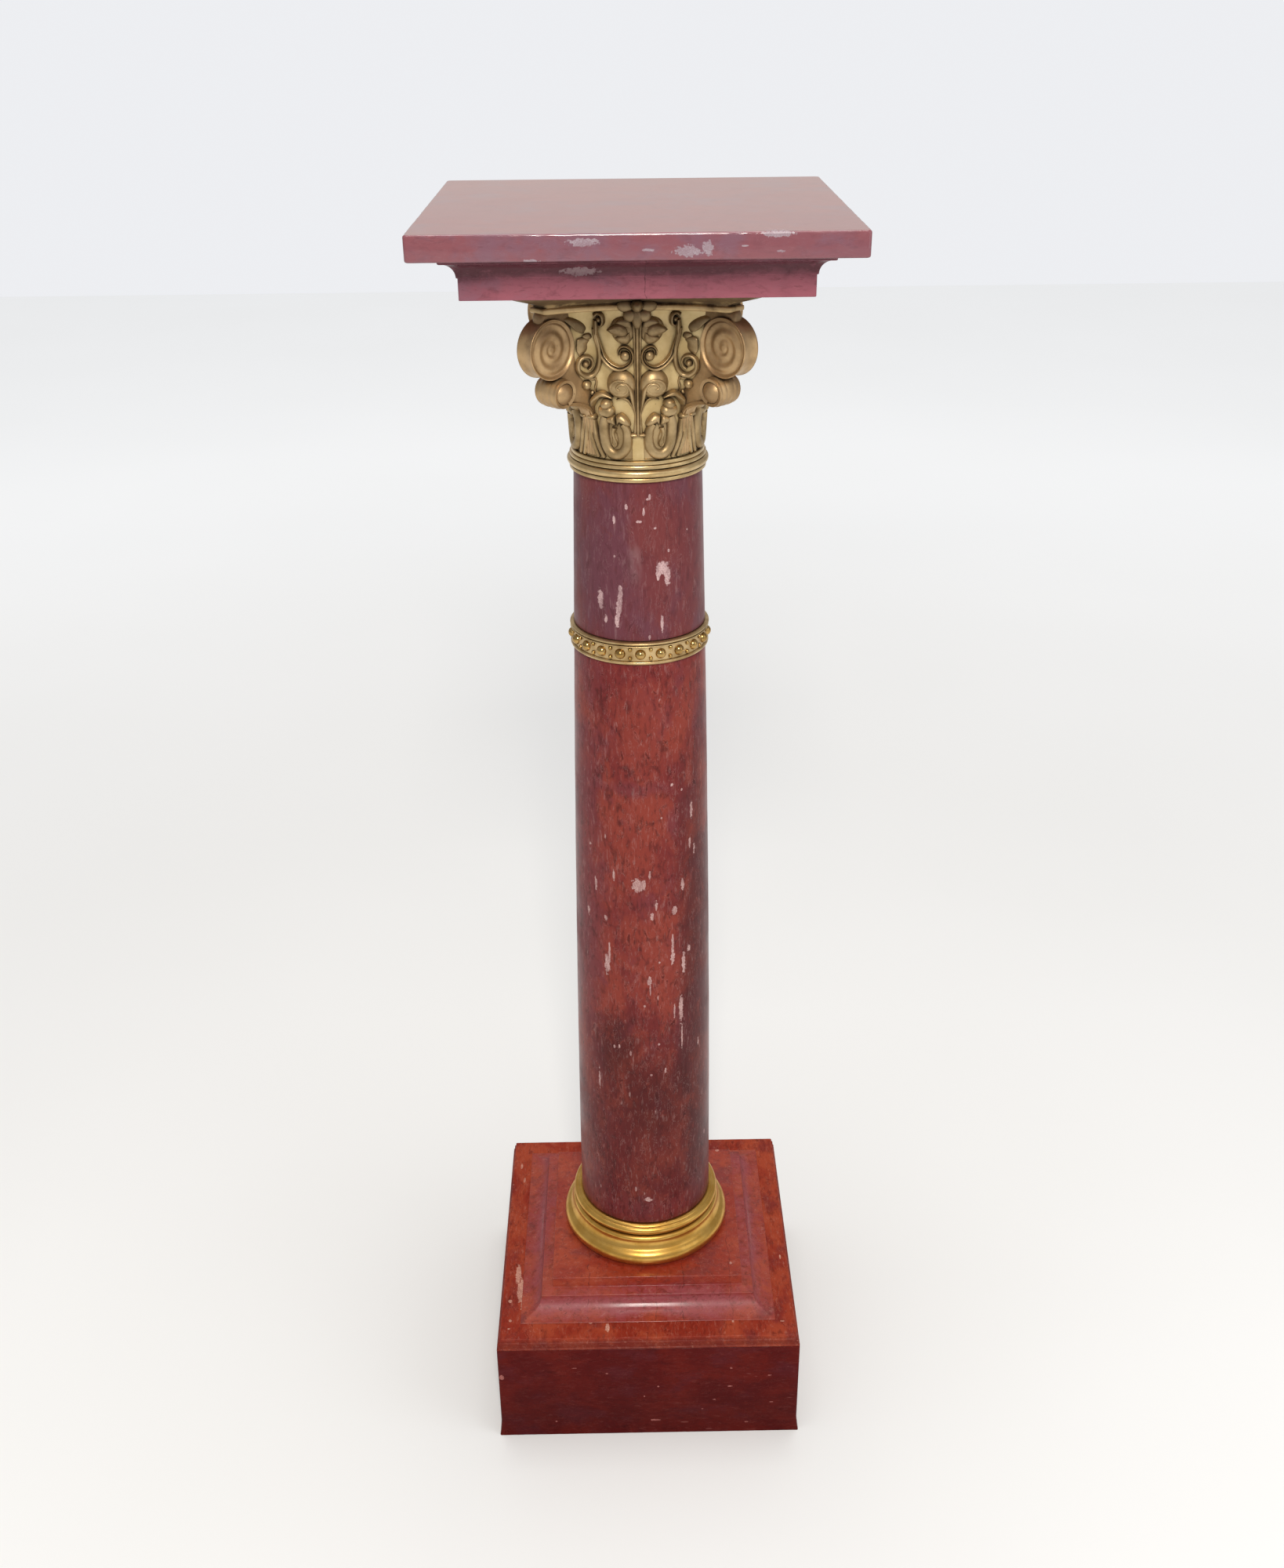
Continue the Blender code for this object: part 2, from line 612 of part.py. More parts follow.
def build_base(collection, material):
    """Rolls and hollows of the bronze base, as reaches beyond the shaft's foot."""
    radius = SHAFT_FOOT_RADIUS
    roll_middle = BASE_HEIGHT - 0.0014 - BASE_ROLL_HEIGHT / 2.0
    crest_middle = roll_middle - BASE_ROLL_HEIGHT / 2.0 - BASE_CREST_HEIGHT / 2.0
    roll_depth = BASE_ROLL_REACH - BASE_FILLET_REACH
    crest_depth = BASE_CREST_REACH - BASE_FILLET_REACH
    torus_depth = 0.55 * BASE_TORUS_HEIGHT
    fillet = radius + BASE_FILLET_REACH
    torus = radius + BASE_TORUS_REACH
    outline = [(fillet - 0.0012, BASE_HEIGHT), (fillet, BASE_HEIGHT - 0.0008)]
    outline += arc((fillet, roll_middle), (roll_depth, BASE_ROLL_HEIGHT / 2.0), 70.0, -80.0, 3)
    outline += arc((fillet, crest_middle), (crest_depth, BASE_CREST_HEIGHT / 2.0), 60.0, -40.0, 2)
    outline += [(torus - torus_depth + 0.0028, BASE_TORUS_HEIGHT + 0.0016)]
    outline += arc(
        (torus - torus_depth, BASE_TORUS_HEIGHT / 2.0), (torus_depth, BASE_TORUS_HEIGHT / 2.0), 62.0, -62.0, 4
    )
    outline += [(torus - 0.3 * torus_depth, 0.0)]
    return turned_piece("base_ring", outline, collection, material, BASE_FOOT)


def build_neck_ring(collection, material):
    """Lip, roll and stepped bands between the shaft and the capital."""
    radius = SHAFT_NECK_RADIUS
    roll_foot = NECK_LIP_HEIGHT
    groove = radius + NECK_LIP_REACH - 0.0010
    roll_depth = radius + NECK_ROLL_REACH - groove
    outline = [
        (radius + 0.0002, NECK_RING_HEIGHT),
        (radius + 0.5 * NECK_BAND_REACH, NECK_RING_HEIGHT - 0.0004),
        (radius + 0.5 * NECK_BAND_REACH, NECK_RING_HEIGHT - 0.0030),
        (radius + NECK_BAND_REACH, NECK_RING_HEIGHT - 0.0034),
        (radius + NECK_BAND_REACH, roll_foot + NECK_ROLL_HEIGHT + 0.0004),
    ]
    middle = roll_foot + NECK_ROLL_HEIGHT / 2.0
    outline += arc((groove, middle), (roll_depth, NECK_ROLL_HEIGHT / 2.0), 75.0, -75.0, 3)
    outline += [
        (radius + NECK_LIP_REACH, roll_foot - 0.0008),
        (radius + NECK_LIP_REACH, 0.0006),
        (radius + NECK_LIP_REACH - 0.0008, 0.0),
    ]
    return turned_piece("neck_ring", outline, collection, material, NECK_RING_FOOT)


def build_plinth(collection, material):
    block = [
        (BLOCK_HALF_WIDTH, BLOCK_HEIGHT),
        (BLOCK_HALF_WIDTH, BLOCK_FLARE_HEIGHT),
        (BLOCK_HALF_WIDTH + BLOCK_FLARE, 0.0),
    ]
    square_piece("plinth_block", block, collection, material, 0.0)
    lid_half = BLOCK_HALF_WIDTH
    lid = [
        (lid_half - 2.4 * LID_STEP, LID_HEIGHT),
        (lid_half - 1.6 * LID_STEP, 0.60 * LID_HEIGHT),
        (lid_half - 0.6 * LID_STEP, 0.52 * LID_HEIGHT),
        (lid_half, 0.06 * LID_HEIGHT),
        (lid_half, 0.0),
    ]
    square_piece("plinth_lid", lid, collection, material, LID_FOOT)
    plate_half = SHAFT_FOOT_RADIUS + BASE_TORUS_REACH + PLATE_MARGIN
    ledge = plate_half + PLATE_LEDGE
    hollow_centre = (ledge + PLINTH_HOLLOW_WIDTH, PLINTH_HOLLOW_HEIGHT)
    hollow = arc(hollow_centre, (PLINTH_HOLLOW_WIDTH, PLINTH_HOLLOW_HEIGHT), 180.0, 268.0, 6)
    plate_top = PLINTH_HOLLOW_HEIGHT + PLATE_HEIGHT
    plate = [
        (plate_half, plate_top),
        (plate_half, PLINTH_HOLLOW_HEIGHT),
        *hollow,
        (hollow[-1][0], 0.0),
    ]
    square_piece("plinth_plate", plate, collection, material, PLATE_FOOT)


def build_top(collection, material):
    cove_top = MOULDING_HALF_WIDTH + MOULDING_COVE_WIDTH
    cove_foot = MOULDING_FASCIA
    cove = arc(
        (cove_top, cove_foot), (MOULDING_COVE_WIDTH - 0.0010, MOULDING_COVE_HEIGHT), 90.0, 180.0, 5
    )
    moulding = [
        (cove_top + 0.0006, MOULDING_HEIGHT),
        (cove_top + 0.0006, cove_foot + MOULDING_COVE_HEIGHT + 0.0008),
        *cove,
        (MOULDING_HALF_WIDTH, cove_foot),
        (MOULDING_HALF_WIDTH, 0.0),
    ]
    square_piece("top_moulding", moulding, collection, material, MOULDING_FOOT)
    slab = [(SLAB_HALF_WIDTH, SLAB_HEIGHT), (SLAB_HALF_WIDTH, 0.0)]
    item = square_piece("top_slab", slab, collection, material, SLAB_FOOT)
    easing = item.modifiers.new("Easing", "BEVEL")
    easing.width = SLAB_EASING
    easing.segments = 2
    easing.limit_method = "ANGLE"


def build():
    clear_scene()
    column = make_collection("marble_pedestal_column")
    carving = make_collection("capital_carving")
    beads = make_collection("ring_beads")
    top_marble = make_material("top_marble", (0.28, 0.10, 0.12), 0.25, 0.0)
    shaft_marble = make_material("shaft_marble", (0.20, 0.055, 0.05), 0.22, 0.0)
    plinth_marble = make_material("plinth_marble", (0.16, 0.025, 0.018), 0.25, 0.0)
    gilt_bronze = make_material("gilt_bronze", (0.48, 0.32, 0.12), 0.38, 1.0)

    build_plinth(column, plinth_marble)
    build_base(column, gilt_bronze)
    build_drum("shaft_lower", SHAFT_FOOT, LOWER_DRUM_HEIGHT, column, shaft_marble, 5)
    build_beaded_ring(column, beads, gilt_bronze)
    build_drum("shaft_upper", UPPER_DRUM_FOOT, UPPER_DRUM_HEIGHT, column, shaft_marble, 2)
    build_neck_ring(column, gilt_bronze)
    build_capital(column, carving, gilt_bronze)
    build_top(column, top_marble)


build()
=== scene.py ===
import math

import bpy
import numpy as np
from mathutils import Matrix, Vector, noise


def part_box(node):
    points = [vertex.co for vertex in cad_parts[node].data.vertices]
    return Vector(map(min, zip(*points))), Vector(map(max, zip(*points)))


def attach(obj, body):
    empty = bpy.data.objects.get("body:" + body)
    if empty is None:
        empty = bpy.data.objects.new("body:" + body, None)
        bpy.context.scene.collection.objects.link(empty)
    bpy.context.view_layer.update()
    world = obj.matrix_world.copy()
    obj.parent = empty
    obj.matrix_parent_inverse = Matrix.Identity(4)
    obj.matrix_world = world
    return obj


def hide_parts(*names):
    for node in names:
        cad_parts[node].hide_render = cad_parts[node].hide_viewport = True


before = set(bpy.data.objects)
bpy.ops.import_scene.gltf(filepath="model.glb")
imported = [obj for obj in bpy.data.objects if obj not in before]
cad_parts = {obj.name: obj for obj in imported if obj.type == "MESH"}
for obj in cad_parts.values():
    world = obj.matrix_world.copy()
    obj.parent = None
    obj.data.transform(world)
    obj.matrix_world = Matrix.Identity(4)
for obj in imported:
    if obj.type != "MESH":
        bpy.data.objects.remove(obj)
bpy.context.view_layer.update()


# Plinth block. A square block of dark red marble that stands on the floor and carries the rest.
# Its faces are polished, its foot flares a little, and its arrises are softened by wear.

class Socket:
    """A shader value that takes part in arithmetic: each operation adds its Math node."""

    def __init__(self, finish, output):
        self.finish = finish
        self.output = output

    def maths(self, operation, first, second):
        return self.finish.node("Math", {"operation": operation}, {0: first, 1: second})

    def __add__(self, other):
        return self.maths("ADD", self, other)

    def __radd__(self, other):
        return self.maths("ADD", other, self)

    def __sub__(self, other):
        return self.maths("SUBTRACT", self, other)

    def __rsub__(self, other):
        return self.maths("SUBTRACT", other, self)

    def __mul__(self, other):
        return self.maths("MULTIPLY", self, other)

    def __rmul__(self, other):
        return self.maths("MULTIPLY", other, self)


class Finish:
    """A material in the making; node() adds any shader node to it."""

    def __init__(self, name, roughness, metallic=0.0):
        self.material = bpy.data.materials.new(name)
        self.material.use_nodes = True
        self.tree = self.material.node_tree
        self.shader = self.tree.nodes["Principled BSDF"]
        self.shader.inputs["Roughness"].default_value = roughness
        self.shader.inputs["Metallic"].default_value = metallic
        self.place = self.node("TexCoord", output="Object")

    def node(self, kind, settings=None, inputs=None, output=0):
        made = self.tree.nodes.new("ShaderNode" + kind)
        for name, value in (settings or {}).items():
            setattr(made, name, value)
        for name, value in (inputs or {}).items():
            self.join(value, made.inputs[name])
        return Socket(self, made.outputs[output])

    def join(self, value, target):
        if isinstance(value, Socket):
            self.tree.links.new(value.output, target)
        else:
            target.default_value = value

    def set(self, **inputs):
        for name, value in inputs.items():
            self.join(value, self.shader.inputs[name.replace("_", " ")])

    def stretched(self, place, scales):
        return self.node("VectorMath", {"operation": "MULTIPLY"}, {0: place, 1: scales})

    def noise(self, place, scale, detail=3.0, roughness=0.5, distortion=0.0):
        inputs = {"Vector": place, "Scale": scale, "Detail": detail, "Roughness": roughness,
                  "Distortion": distortion}
        return self.node("TexNoise", None, inputs)

    def between(self, value, low, high):
        """0 at low, 1 at high, eased between them; low may be the greater."""
        inputs = {"Value": value, "From Min": low, "From Max": high}
        return self.node("MapRange", {"interpolation_type": "SMOOTHSTEP"}, inputs)

    def mix(self, share, first, second, blend="MIX"):
        return self.node("Mix", {"data_type": "RGBA", "blend_type": blend},
                         {0: share, 6: first, 7: second}, output=2)

    def larger(self, first, second):
        return self.node("Math", {"operation": "MAXIMUM"}, {0: first, 1: second})

    def smaller(self, first, second):
        return self.node("Math", {"operation": "MINIMUM"}, {0: first, 1: second})

    def absolute(self, value):
        return self.node("Math", {"operation": "ABSOLUTE"}, {0: value})

    def patch(self, place, centre, half, ragged, edge=0.12):
        """1 inside an ellipsoid, 0 outside; the ragged value pushes its edge in and out."""
        away = self.node("VectorMath", {"operation": "SUBTRACT"}, {0: place, 1: centre})
        share = self.node("VectorMath", {"operation": "DIVIDE"}, {0: away, 1: half})
        reach = self.node("VectorMath", {"operation": "LENGTH"}, {0: share}, output=1)
        return self.between(reach + ragged, 1.0 + edge, 1.0 - edge)

    def patches(self, place, spots, depth, ragged, face):
        """Patches on the front, at (x, z, half width, half height), or on top, with y for z."""
        found = 0.0
        for x, other, half_x, half_other in spots:
            if face == "front":
                centre, half = (x, depth[0], other), (half_x, depth[1], half_other)
            else:
                centre, half = (x, other, depth[0]), (half_x, half_other, depth[1])
            found = self.larger(found, self.patch(place, centre, half, ragged))
        return found

    def bump(self, height, distance, strength=1.0):
        return self.node("Bump", None, {"Height": height, "Distance": distance,
                                        "Strength": strength})


def srgb(red, green, blue):
    """Colour from 0 to 255 steps as they show on a screen."""
    linear = [((v / 255.0 + 0.055) / 1.055) ** 2.4 for v in (red, green, blue)]
    return (*linear, 1.0)


WIDE_VEIL = 0.15


def marble(name, tones, lie, spots=(), depth=(0.0, 1.0), veils=(), cracks=(), face="front",
           freckles=0.5, roughness=0.22, lustre=0.30, fray=1.5, uneven=1.0, streaky=1.0,
           rubbed=0.0):
    """Red marble in tones body, warm, cool, deep and pale, its streaks lying along its bed.

    Lie says how tightly the streaks are packed along each axis; a sixth tone is for veils only.
    Spots are pale fossils on the face at depth (middle, half), as patches() takes them. Veils are
    soft areas of another tone, (x, z, half width, half height, tone, strength), and those wider
    than the piece go all round it; some are the stone's own, and some are painted shade and painted
    sheen. Cracks are fine lines on the front, (x, half width). A rubbed piece is duller by that
    much towards its corners, where no cloth reaches.
    """
    body, warm, cool, deep, pale = (srgb(*tone) for tone in tones[:5])
    stone = Finish(name, roughness)
    stone.shader.inputs["Specular IOR Level"].default_value = lustre
    bed = stone.stretched(stone.place, lie)
    broad = stone.stretched(stone.place, tuple(v ** 0.35 for v in lie))
    cloud = stone.noise(broad, 26.0, detail=5.0, roughness=0.55, distortion=0.8)
    other = stone.noise(stone.stretched(broad, (1.0, 1.0, -1.0)), 34.0, detail=5.0, roughness=0.6)
    mottle = stone.noise(broad, 150.0, detail=5.0, roughness=0.62, distortion=0.5)
    streak = stone.noise(bed, 330.0, detail=4.0, roughness=0.6, distortion=0.4)
    fleck = stone.noise(bed, 210.0, detail=5.0, roughness=0.7, distortion=1.2)
    grain = stone.noise(stone.place, 1100.0, detail=2.0)

    colour = stone.mix(stone.between(cloud, 0.40, 0.62), body, warm)
    colour = stone.mix(stone.between(other, 0.50, 0.66) * 0.8, colour, cool)
    for x, z, half_width, half_height, tone, strength in veils:
        reach = (0.0, 0.5) if half_width > WIDE_VEIL else (depth[0], depth[1] * 2.0)
        soft = stone.patch(stone.place, (x, reach[0], z), (half_width, reach[1], half_height),
                           (cloud + mottle - 1.0) * 1.6, edge=0.55)
        colour = stone.mix(soft * strength, colour, srgb(*tones[tone]))
    colour = stone.mix(stone.between(mottle, 0.52, 0.68) * (0.60 * streaky), colour, deep)
    colour = stone.mix(stone.between(mottle, 0.44, 0.30) * 0.40, colour, warm)
    colour = stone.mix(stone.between(streak, 0.53, 0.68) * (0.55 * streaky), colour, deep)
    colour = stone.mix(stone.between(streak, 0.42, 0.30) * (0.15 * streaky), colour, pale)
    dark = stone.between(fleck, 0.60, 0.66)
    colour = stone.mix(dark * (0.75 * streaky), colour, deep)
    rim = stone.between(stone.absolute(fleck - 0.57), 0.012, 0.002)
    colour = stone.mix(rim * (0.22 * streaky), colour, pale)

    cells = stone.node("TexVoronoi", None, {"Vector": stone.stretched(bed, (1.0, 1.0, 1.4)),
                                            "Scale": 95.0, "Randomness": 1.0})
    pick = stone.noise(bed, 60.0, detail=1.0)
    speck = stone.between(cells, 0.13, 0.09) * stone.between(pick, 0.60, 0.63)
    ragged = (stone.noise(stone.place, 380.0, detail=4.0, roughness=0.6) - 0.5) * fray
    fossil = stone.larger(speck * freckles, stone.patches(stone.place, spots, depth, ragged, face))
    mottled = stone.mix(stone.between(grain + mottle, 0.75, 1.15) * 0.55, pale, cool)
    colour = stone.mix(fossil * 0.88, colour, mottled)

    across, along = (stone.node("SeparateXYZ", None, {0: stone.place}, output=axis)
                     for axis in "XY")
    front = stone.between(along, 0.0, -0.01)
    wander = (stone.noise(stone.place, 70.0, detail=3.0) - 0.5) * 0.010
    crack = 0.0
    for x, half_width in cracks:
        away = stone.absolute(across + wander - x)
        crack = stone.larger(crack, stone.between(away, half_width, half_width * 0.2) * front)
    if cracks:
        crack = crack * stone.between(mottle, 0.40, 0.52)
        colour = stone.mix(crack * 0.8, colour, deep)

    smudge = stone.noise(stone.place, 24.0, detail=4.0, roughness=0.6)
    dull = stone.between(smudge, 0.40, 0.75) * (0.16 * uneven) + fossil * 0.22
    if rubbed:
        sideways = stone.smaller(stone.absolute(across), stone.absolute(along))
        dull = dull + stone.between(sideways, 0.008, 0.060) * rubbed
    stone.set(
        Base_Color=colour,
        Roughness=roughness + dull,
        Normal=stone.bump(streak * 0.4 + grain * 0.15 - fossil * 0.5 - crack * 0.6,
                          0.00012 * uneven),
    )
    return stone


def eased(profile, ease, steps=4):
    """Open outline with each inner corner rounded; ends stay where they are."""
    points = [Vector(profile[0])]
    for before, corner, after in zip(profile, profile[1:], profile[2:]):
        before, corner, after = Vector(before), Vector(corner), Vector(after)
        reach = min(ease, (before - corner).length * 0.45, (after - corner).length * 0.45)
        start = corner + (before - corner).normalized() * reach
        stop = corner + (after - corner).normalized() * reach
        for i in range(steps + 1):
            t = i / steps
            points.append(start * (1 - t) ** 2 + corner * 2 * t * (1 - t) + stop * t ** 2)
    points.append(Vector(profile[-1]))
    return np.array([tuple(p) for p in points])


def lattice(rows, columns):
    """Faces between rings of points, each ring with its next one."""
    faces = []
    for i in range(rows - 1):
        for j in range(columns):
            k = (j + 1) % columns
            faces.append((i * columns + j, (i + 1) * columns + j, (i + 1) * columns + k,
                          i * columns + k))
    return faces


def capped(rows, columns):
    """Faces of a closed form made of rings of points, with a flat face at each end."""
    last = (rows - 1) * columns
    return lattice(rows, columns) + [tuple(range(columns)),
                                     tuple(reversed(range(last, last + columns)))]


def shape(name, points, faces, finish, crease=32.0):
    mesh = bpy.data.meshes.new(name)
    mesh.from_pydata(points.tolist(), [], faces)
    mesh.update()
    mesh.shade_smooth()
    mesh.set_sharp_from_angle(angle=math.radians(crease))
    for face in mesh.polygons:
        face.use_smooth = len(face.vertices) <= 4
    mesh.materials.append(finish.material)
    made = bpy.data.objects.new(name, mesh)
    bpy.context.scene.collection.objects.link(made)
    return made


COURSE_PITCH = 0.0030


def square_course(name, profile, finish, ease=0.0008, wear=0.00025):
    """Square course from a profile of (half width, height), top to bottom, its arrises worn."""
    widest = max(x for x, z in profile)
    straight = np.linspace(-1.0, 1.0, round(2.0 * widest / COURSE_PITCH) + 1)
    turn = np.radians(np.linspace(-45.0, 45.0, 7))[1:-1]
    rings = []
    for half, height in eased([(0.0, profile[0][1]), *profile, (0.0, profile[-1][1])], ease)[1:-1]:
        corner = min(ease * 1.5, half * 0.5)
        side = [(half, s * (half - corner)) for s in straight]
        side += [(half - corner + corner * math.cos(a + math.pi / 4), half - corner
                  + corner * math.sin(a + math.pi / 4)) for a in turn]
        rings.append(np.array([(x * c - y * s, x * s + y * c, height)
                               for c, s in ((1, 0), (0, 1), (-1, 0), (0, -1)) for x, y in side]))
    made = shape(name, np.concatenate(rings), capped(len(rings), len(rings[0])), finish)
    nibble(made.data, wear)
    return made


def nibble(mesh, wear):
    """Takes a little off the arrises, unevenly, as use does."""
    worn = [vertex.co.copy() for vertex in mesh.vertices]
    for i, normal in enumerate([vertex.normal.copy() for vertex in mesh.vertices]):
        edge = min(max((0.985 - max(abs(normal.x), abs(normal.y), abs(normal.z))) / 0.2, 0.0), 1.0)
        bite = max(noise.noise(worn[i] * 130.0) + 0.5 * noise.noise(worn[i] * 420.0), 0.0)
        worn[i] -= normal * wear * edge * bite * 2.0
    for vertex, place in zip(mesh.vertices, worn):
        vertex.co = place


BLOCK_HALF = 0.1412
BLOCK_FLARE = 0.0020
BLOCK_FLARE_HEIGHT = 0.016
block_low, block_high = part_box("plinth_block")
block_spots = [
    (-0.0394, 0.0783, 0.0012, 0.0008), (0.0766, 0.0589, 0.0026, 0.0010),
    (0.0776, 0.0826, 0.0010, 0.0010), (0.1140, 0.0725, 0.0018, 0.0006),
    (0.0059, 0.0153, 0.0042, 0.0011), (-0.0043, 0.0473, 0.0008, 0.0010),
    (0.0619, 0.0415, 0.0015, 0.0006), (0.1165, 0.0369, 0.0018, 0.0006),
    (0.0509, 0.0291, 0.0010, 0.0006), (-0.0887, 0.0156, 0.0010, 0.0008),
    (0.0932, 0.0110, 0.0020, 0.0007), (-0.1382, 0.0756, 0.0022, 0.0030),
    (0.0090, 0.0600, 0.0010, 0.0008), (-0.0700, 0.0860, 0.0022, 0.0004),
]
# Partly painted shade: the block's dark maroon, under the orange-red lid and plate, is partly stone
# and partly painted shade on its upright faces.
block_marble = marble("block_marble", ((82, 18, 17), (94, 24, 19), (84, 28, 32), (50, 9, 10),
                                       (178, 112, 104)),
                      (0.3, 0.3, 1.0), block_spots, (-BLOCK_HALF, 0.02),
                      [(0.0, 0.0, 0.4, 0.055, 3, 0.30)], freckles=0.3, lustre=0.05, streaky=0.45)
block = square_course("plinth_block_marble", [
    (BLOCK_HALF, block_high.z),
    (BLOCK_HALF, BLOCK_FLARE_HEIGHT),
    (BLOCK_HALF + BLOCK_FLARE * 0.4, BLOCK_FLARE_HEIGHT * 0.35),
    (BLOCK_HALF + BLOCK_FLARE, block_low.z),
], block_marble)
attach(block, "root")
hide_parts("plinth_block")


# Plinth lid. A thin square of red marble laid on the block, brighter and more orange than the block
# partly as painted top light; its edge is worked with two fine steps that catch the light as thin
# lines.

LID_HALF = 0.1412
LID_STEP = 0.0010
lid_low, lid_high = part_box("plinth_lid")
lid_rise = lid_high.z - lid_low.z
lid_spots = [
    (-0.1250, -0.0560, 0.0026, 0.0120), (-0.1215, -0.0770, 0.0034, 0.0150),
    (-0.1178, -0.0960, 0.0026, 0.0100), (-0.0972, -0.1124, 0.0014, 0.0018),
    (-0.0542, -0.1183, 0.0018, 0.0024), (-0.0380, -0.1263, 0.0020, 0.0056),
    (-0.0400, -0.1180, 0.0030, 0.0012), (0.0798, -0.1204, 0.0010, 0.0016),
    (0.1261, -0.1214, 0.0020, 0.0008), (0.1316, -0.0384, 0.0008, 0.0030),
    (0.1183, -0.0220, 0.0008, 0.0020), (-0.0955, -0.0202, 0.0010, 0.0040),
    (-0.1310, -0.0910, 0.0016, 0.0020), (-0.1295, -0.1156, 0.0014, 0.0018),
    (-0.1304, -0.1252, 0.0012, 0.0008), (0.1040, -0.0880, 0.0008, 0.0030),
    (-0.0360, -0.1110, 0.0008, 0.0020), (-0.1150, -0.1140, 0.0008, 0.0010),
]
lid_marble = marble("lid_marble", ((140, 46, 30), (158, 66, 42), (118, 42, 38), (90, 26, 20),
                                   (220, 168, 146)),
                    (1.0, 0.3, 1.0), lid_spots, (lid_high.z, 0.01),
                    [(0.0, lid_low.z + 0.0042, 0.4, 0.0052, 3, 0.62)], face="top", freckles=0.7,
                    roughness=0.32, lustre=0.08, uneven=0.6, streaky=0.75)
lid = square_course("plinth_lid_marble", [
    (LID_HALF - 3.0 * LID_STEP, lid_high.z),
    (LID_HALF - 2.6 * LID_STEP, lid_low.z + 0.66 * lid_rise),
    (LID_HALF - 1.4 * LID_STEP, lid_low.z + 0.60 * lid_rise),
    (LID_HALF - 1.2 * LID_STEP, lid_low.z + 0.16 * lid_rise),
    (LID_HALF, lid_low.z + 0.10 * lid_rise),
    (LID_HALF, lid_low.z),
], lid_marble, ease=0.0005)
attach(lid, "root")
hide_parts("plinth_lid")


# Plinth plate. One slab of marble worked as a square plate over a wide hollow moulding, with
# mitred corners; it lies on the lid and carries the bronze base.

PLATE_HALF = 0.0898
PLATE_LEDGE = 0.0104
HOLLOW_WIDTH = 0.0198
HOLLOW_HEIGHT = 0.0148


def arc(centre, radii, start, stop, steps):
    """Points of an elliptic arc, angles in degrees from +X."""
    turns = [math.radians(start + (stop - start) * i / steps) for i in range(steps + 1)]
    return [(centre[0] + radii[0] * math.cos(a), centre[1] + radii[1] * math.sin(a)) for a in turns]


plate_low, plate_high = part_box("plinth_plate")
plate_ledge_half = PLATE_HALF + PLATE_LEDGE
hollow_top = plate_low.z + HOLLOW_HEIGHT
# Partly painted light: the plate's orange-red, like the lid's, is partly stone and partly painted
# top light, and the mauve band over the hollow is painted sheen.
plate_marble = marble("plate_marble", ((144, 46, 28), (158, 62, 36), (124, 46, 42), (92, 26, 20),
                                       (218, 166, 150), (144, 64, 70)),
                      (0.6, 0.6, 1.0), [(0.0801, -0.0739, 0.0012, 0.0016)], (plate_high.z, 0.01),
                      [(0.0, hollow_top - 0.006, 0.16, 0.0070, 5, 0.9)],
                      ((0.0075, 0.0004), (0.0330, 0.0007), (0.0790, 0.0004), (-0.0560, 0.0005)),
                      face="top", freckles=0.7, roughness=0.24, lustre=0.45, uneven=0.15,
                      streaky=0.7, rubbed=0.24)
plate = square_course("plinth_plate_marble", [
    (PLATE_HALF, plate_high.z),
    (PLATE_HALF, hollow_top + 0.0012),
    (plate_ledge_half, hollow_top + 0.0004),
    *arc((plate_ledge_half + HOLLOW_WIDTH, hollow_top - 0.0008),
         (HOLLOW_WIDTH, HOLLOW_HEIGHT - 0.0012), 180.0, 268.0, 14),
    (plate_ledge_half + HOLLOW_WIDTH, plate_low.z),
], plate_marble, ease=0.0005, wear=0.00003)
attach(plate, "root")
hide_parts("plinth_plate")


# Base ring. A turned casting of gilt bronze that stands on the plate round the foot of the shaft:
# a torus, a hollow, a crest and a roll, worn bright where cloths have rubbed it.

def gilding(name, bright, dull, grime_and_shade, roughness=0.30, reach=0.006, brushed=0.4, metallic=1.0,
            painted_shade_heights=None):
    """Old gilding on bronze: rubbed bright on what stands out, dull and brown in what lies deep,
    as dirt and as painted shade in recesses.

    Between two heights it goes brown by a share: painted shade under the overhanging top.
    """
    gilt = Finish(name, roughness, metallic)
    # Dirt and painted shade: where the ambient occlusion finds a recess, the colour goes to the
    # grime and shade tone.
    deep = gilt.node("AmbientOcclusion", {"samples": 6}, {"Distance": reach}, output="AO")
    tone = gilt.noise(gilt.place, 55.0, detail=4.0, roughness=0.6)
    spotting = gilt.noise(gilt.place, 420.0, detail=3.0, roughness=0.65)
    pits = gilt.noise(gilt.place, 1300.0, detail=2.0)
    colour = gilt.mix(gilt.between(tone, 0.35, 0.68), bright, dull)
    open_share = gilt.between(deep + (spotting - 0.5) * 0.20, 0.16, 0.72)
    colour = gilt.mix(open_share, grime_and_shade, colour)
    colour = gilt.mix(gilt.between(spotting, 0.66, 0.76) * 0.45, colour, grime_and_shade)
    # Painted shade: between the two heights the colour goes to the grime and shade tone, for the
    # shade under the overhanging top.
    if painted_shade_heights:
        low, high, share = painted_shade_heights
        height = gilt.node("SeparateXYZ", None, {0: gilt.place}, output="Z")
        painted_shade_share = gilt.between(height + (tone - 0.5) * 0.02, low, high) * share
        colour = gilt.mix(painted_shade_share, colour, grime_and_shade)
    gilt.set(
        Base_Color=colour,
        Roughness=roughness + (1.0 - open_share) * 0.28 + gilt.between(tone, 0.4, 0.7) * 0.08,
        Normal=gilt.bump(spotting * brushed + pits * brushed * 0.5, 0.00012),
    )
    return gilt


TURNED_SIDES = 192


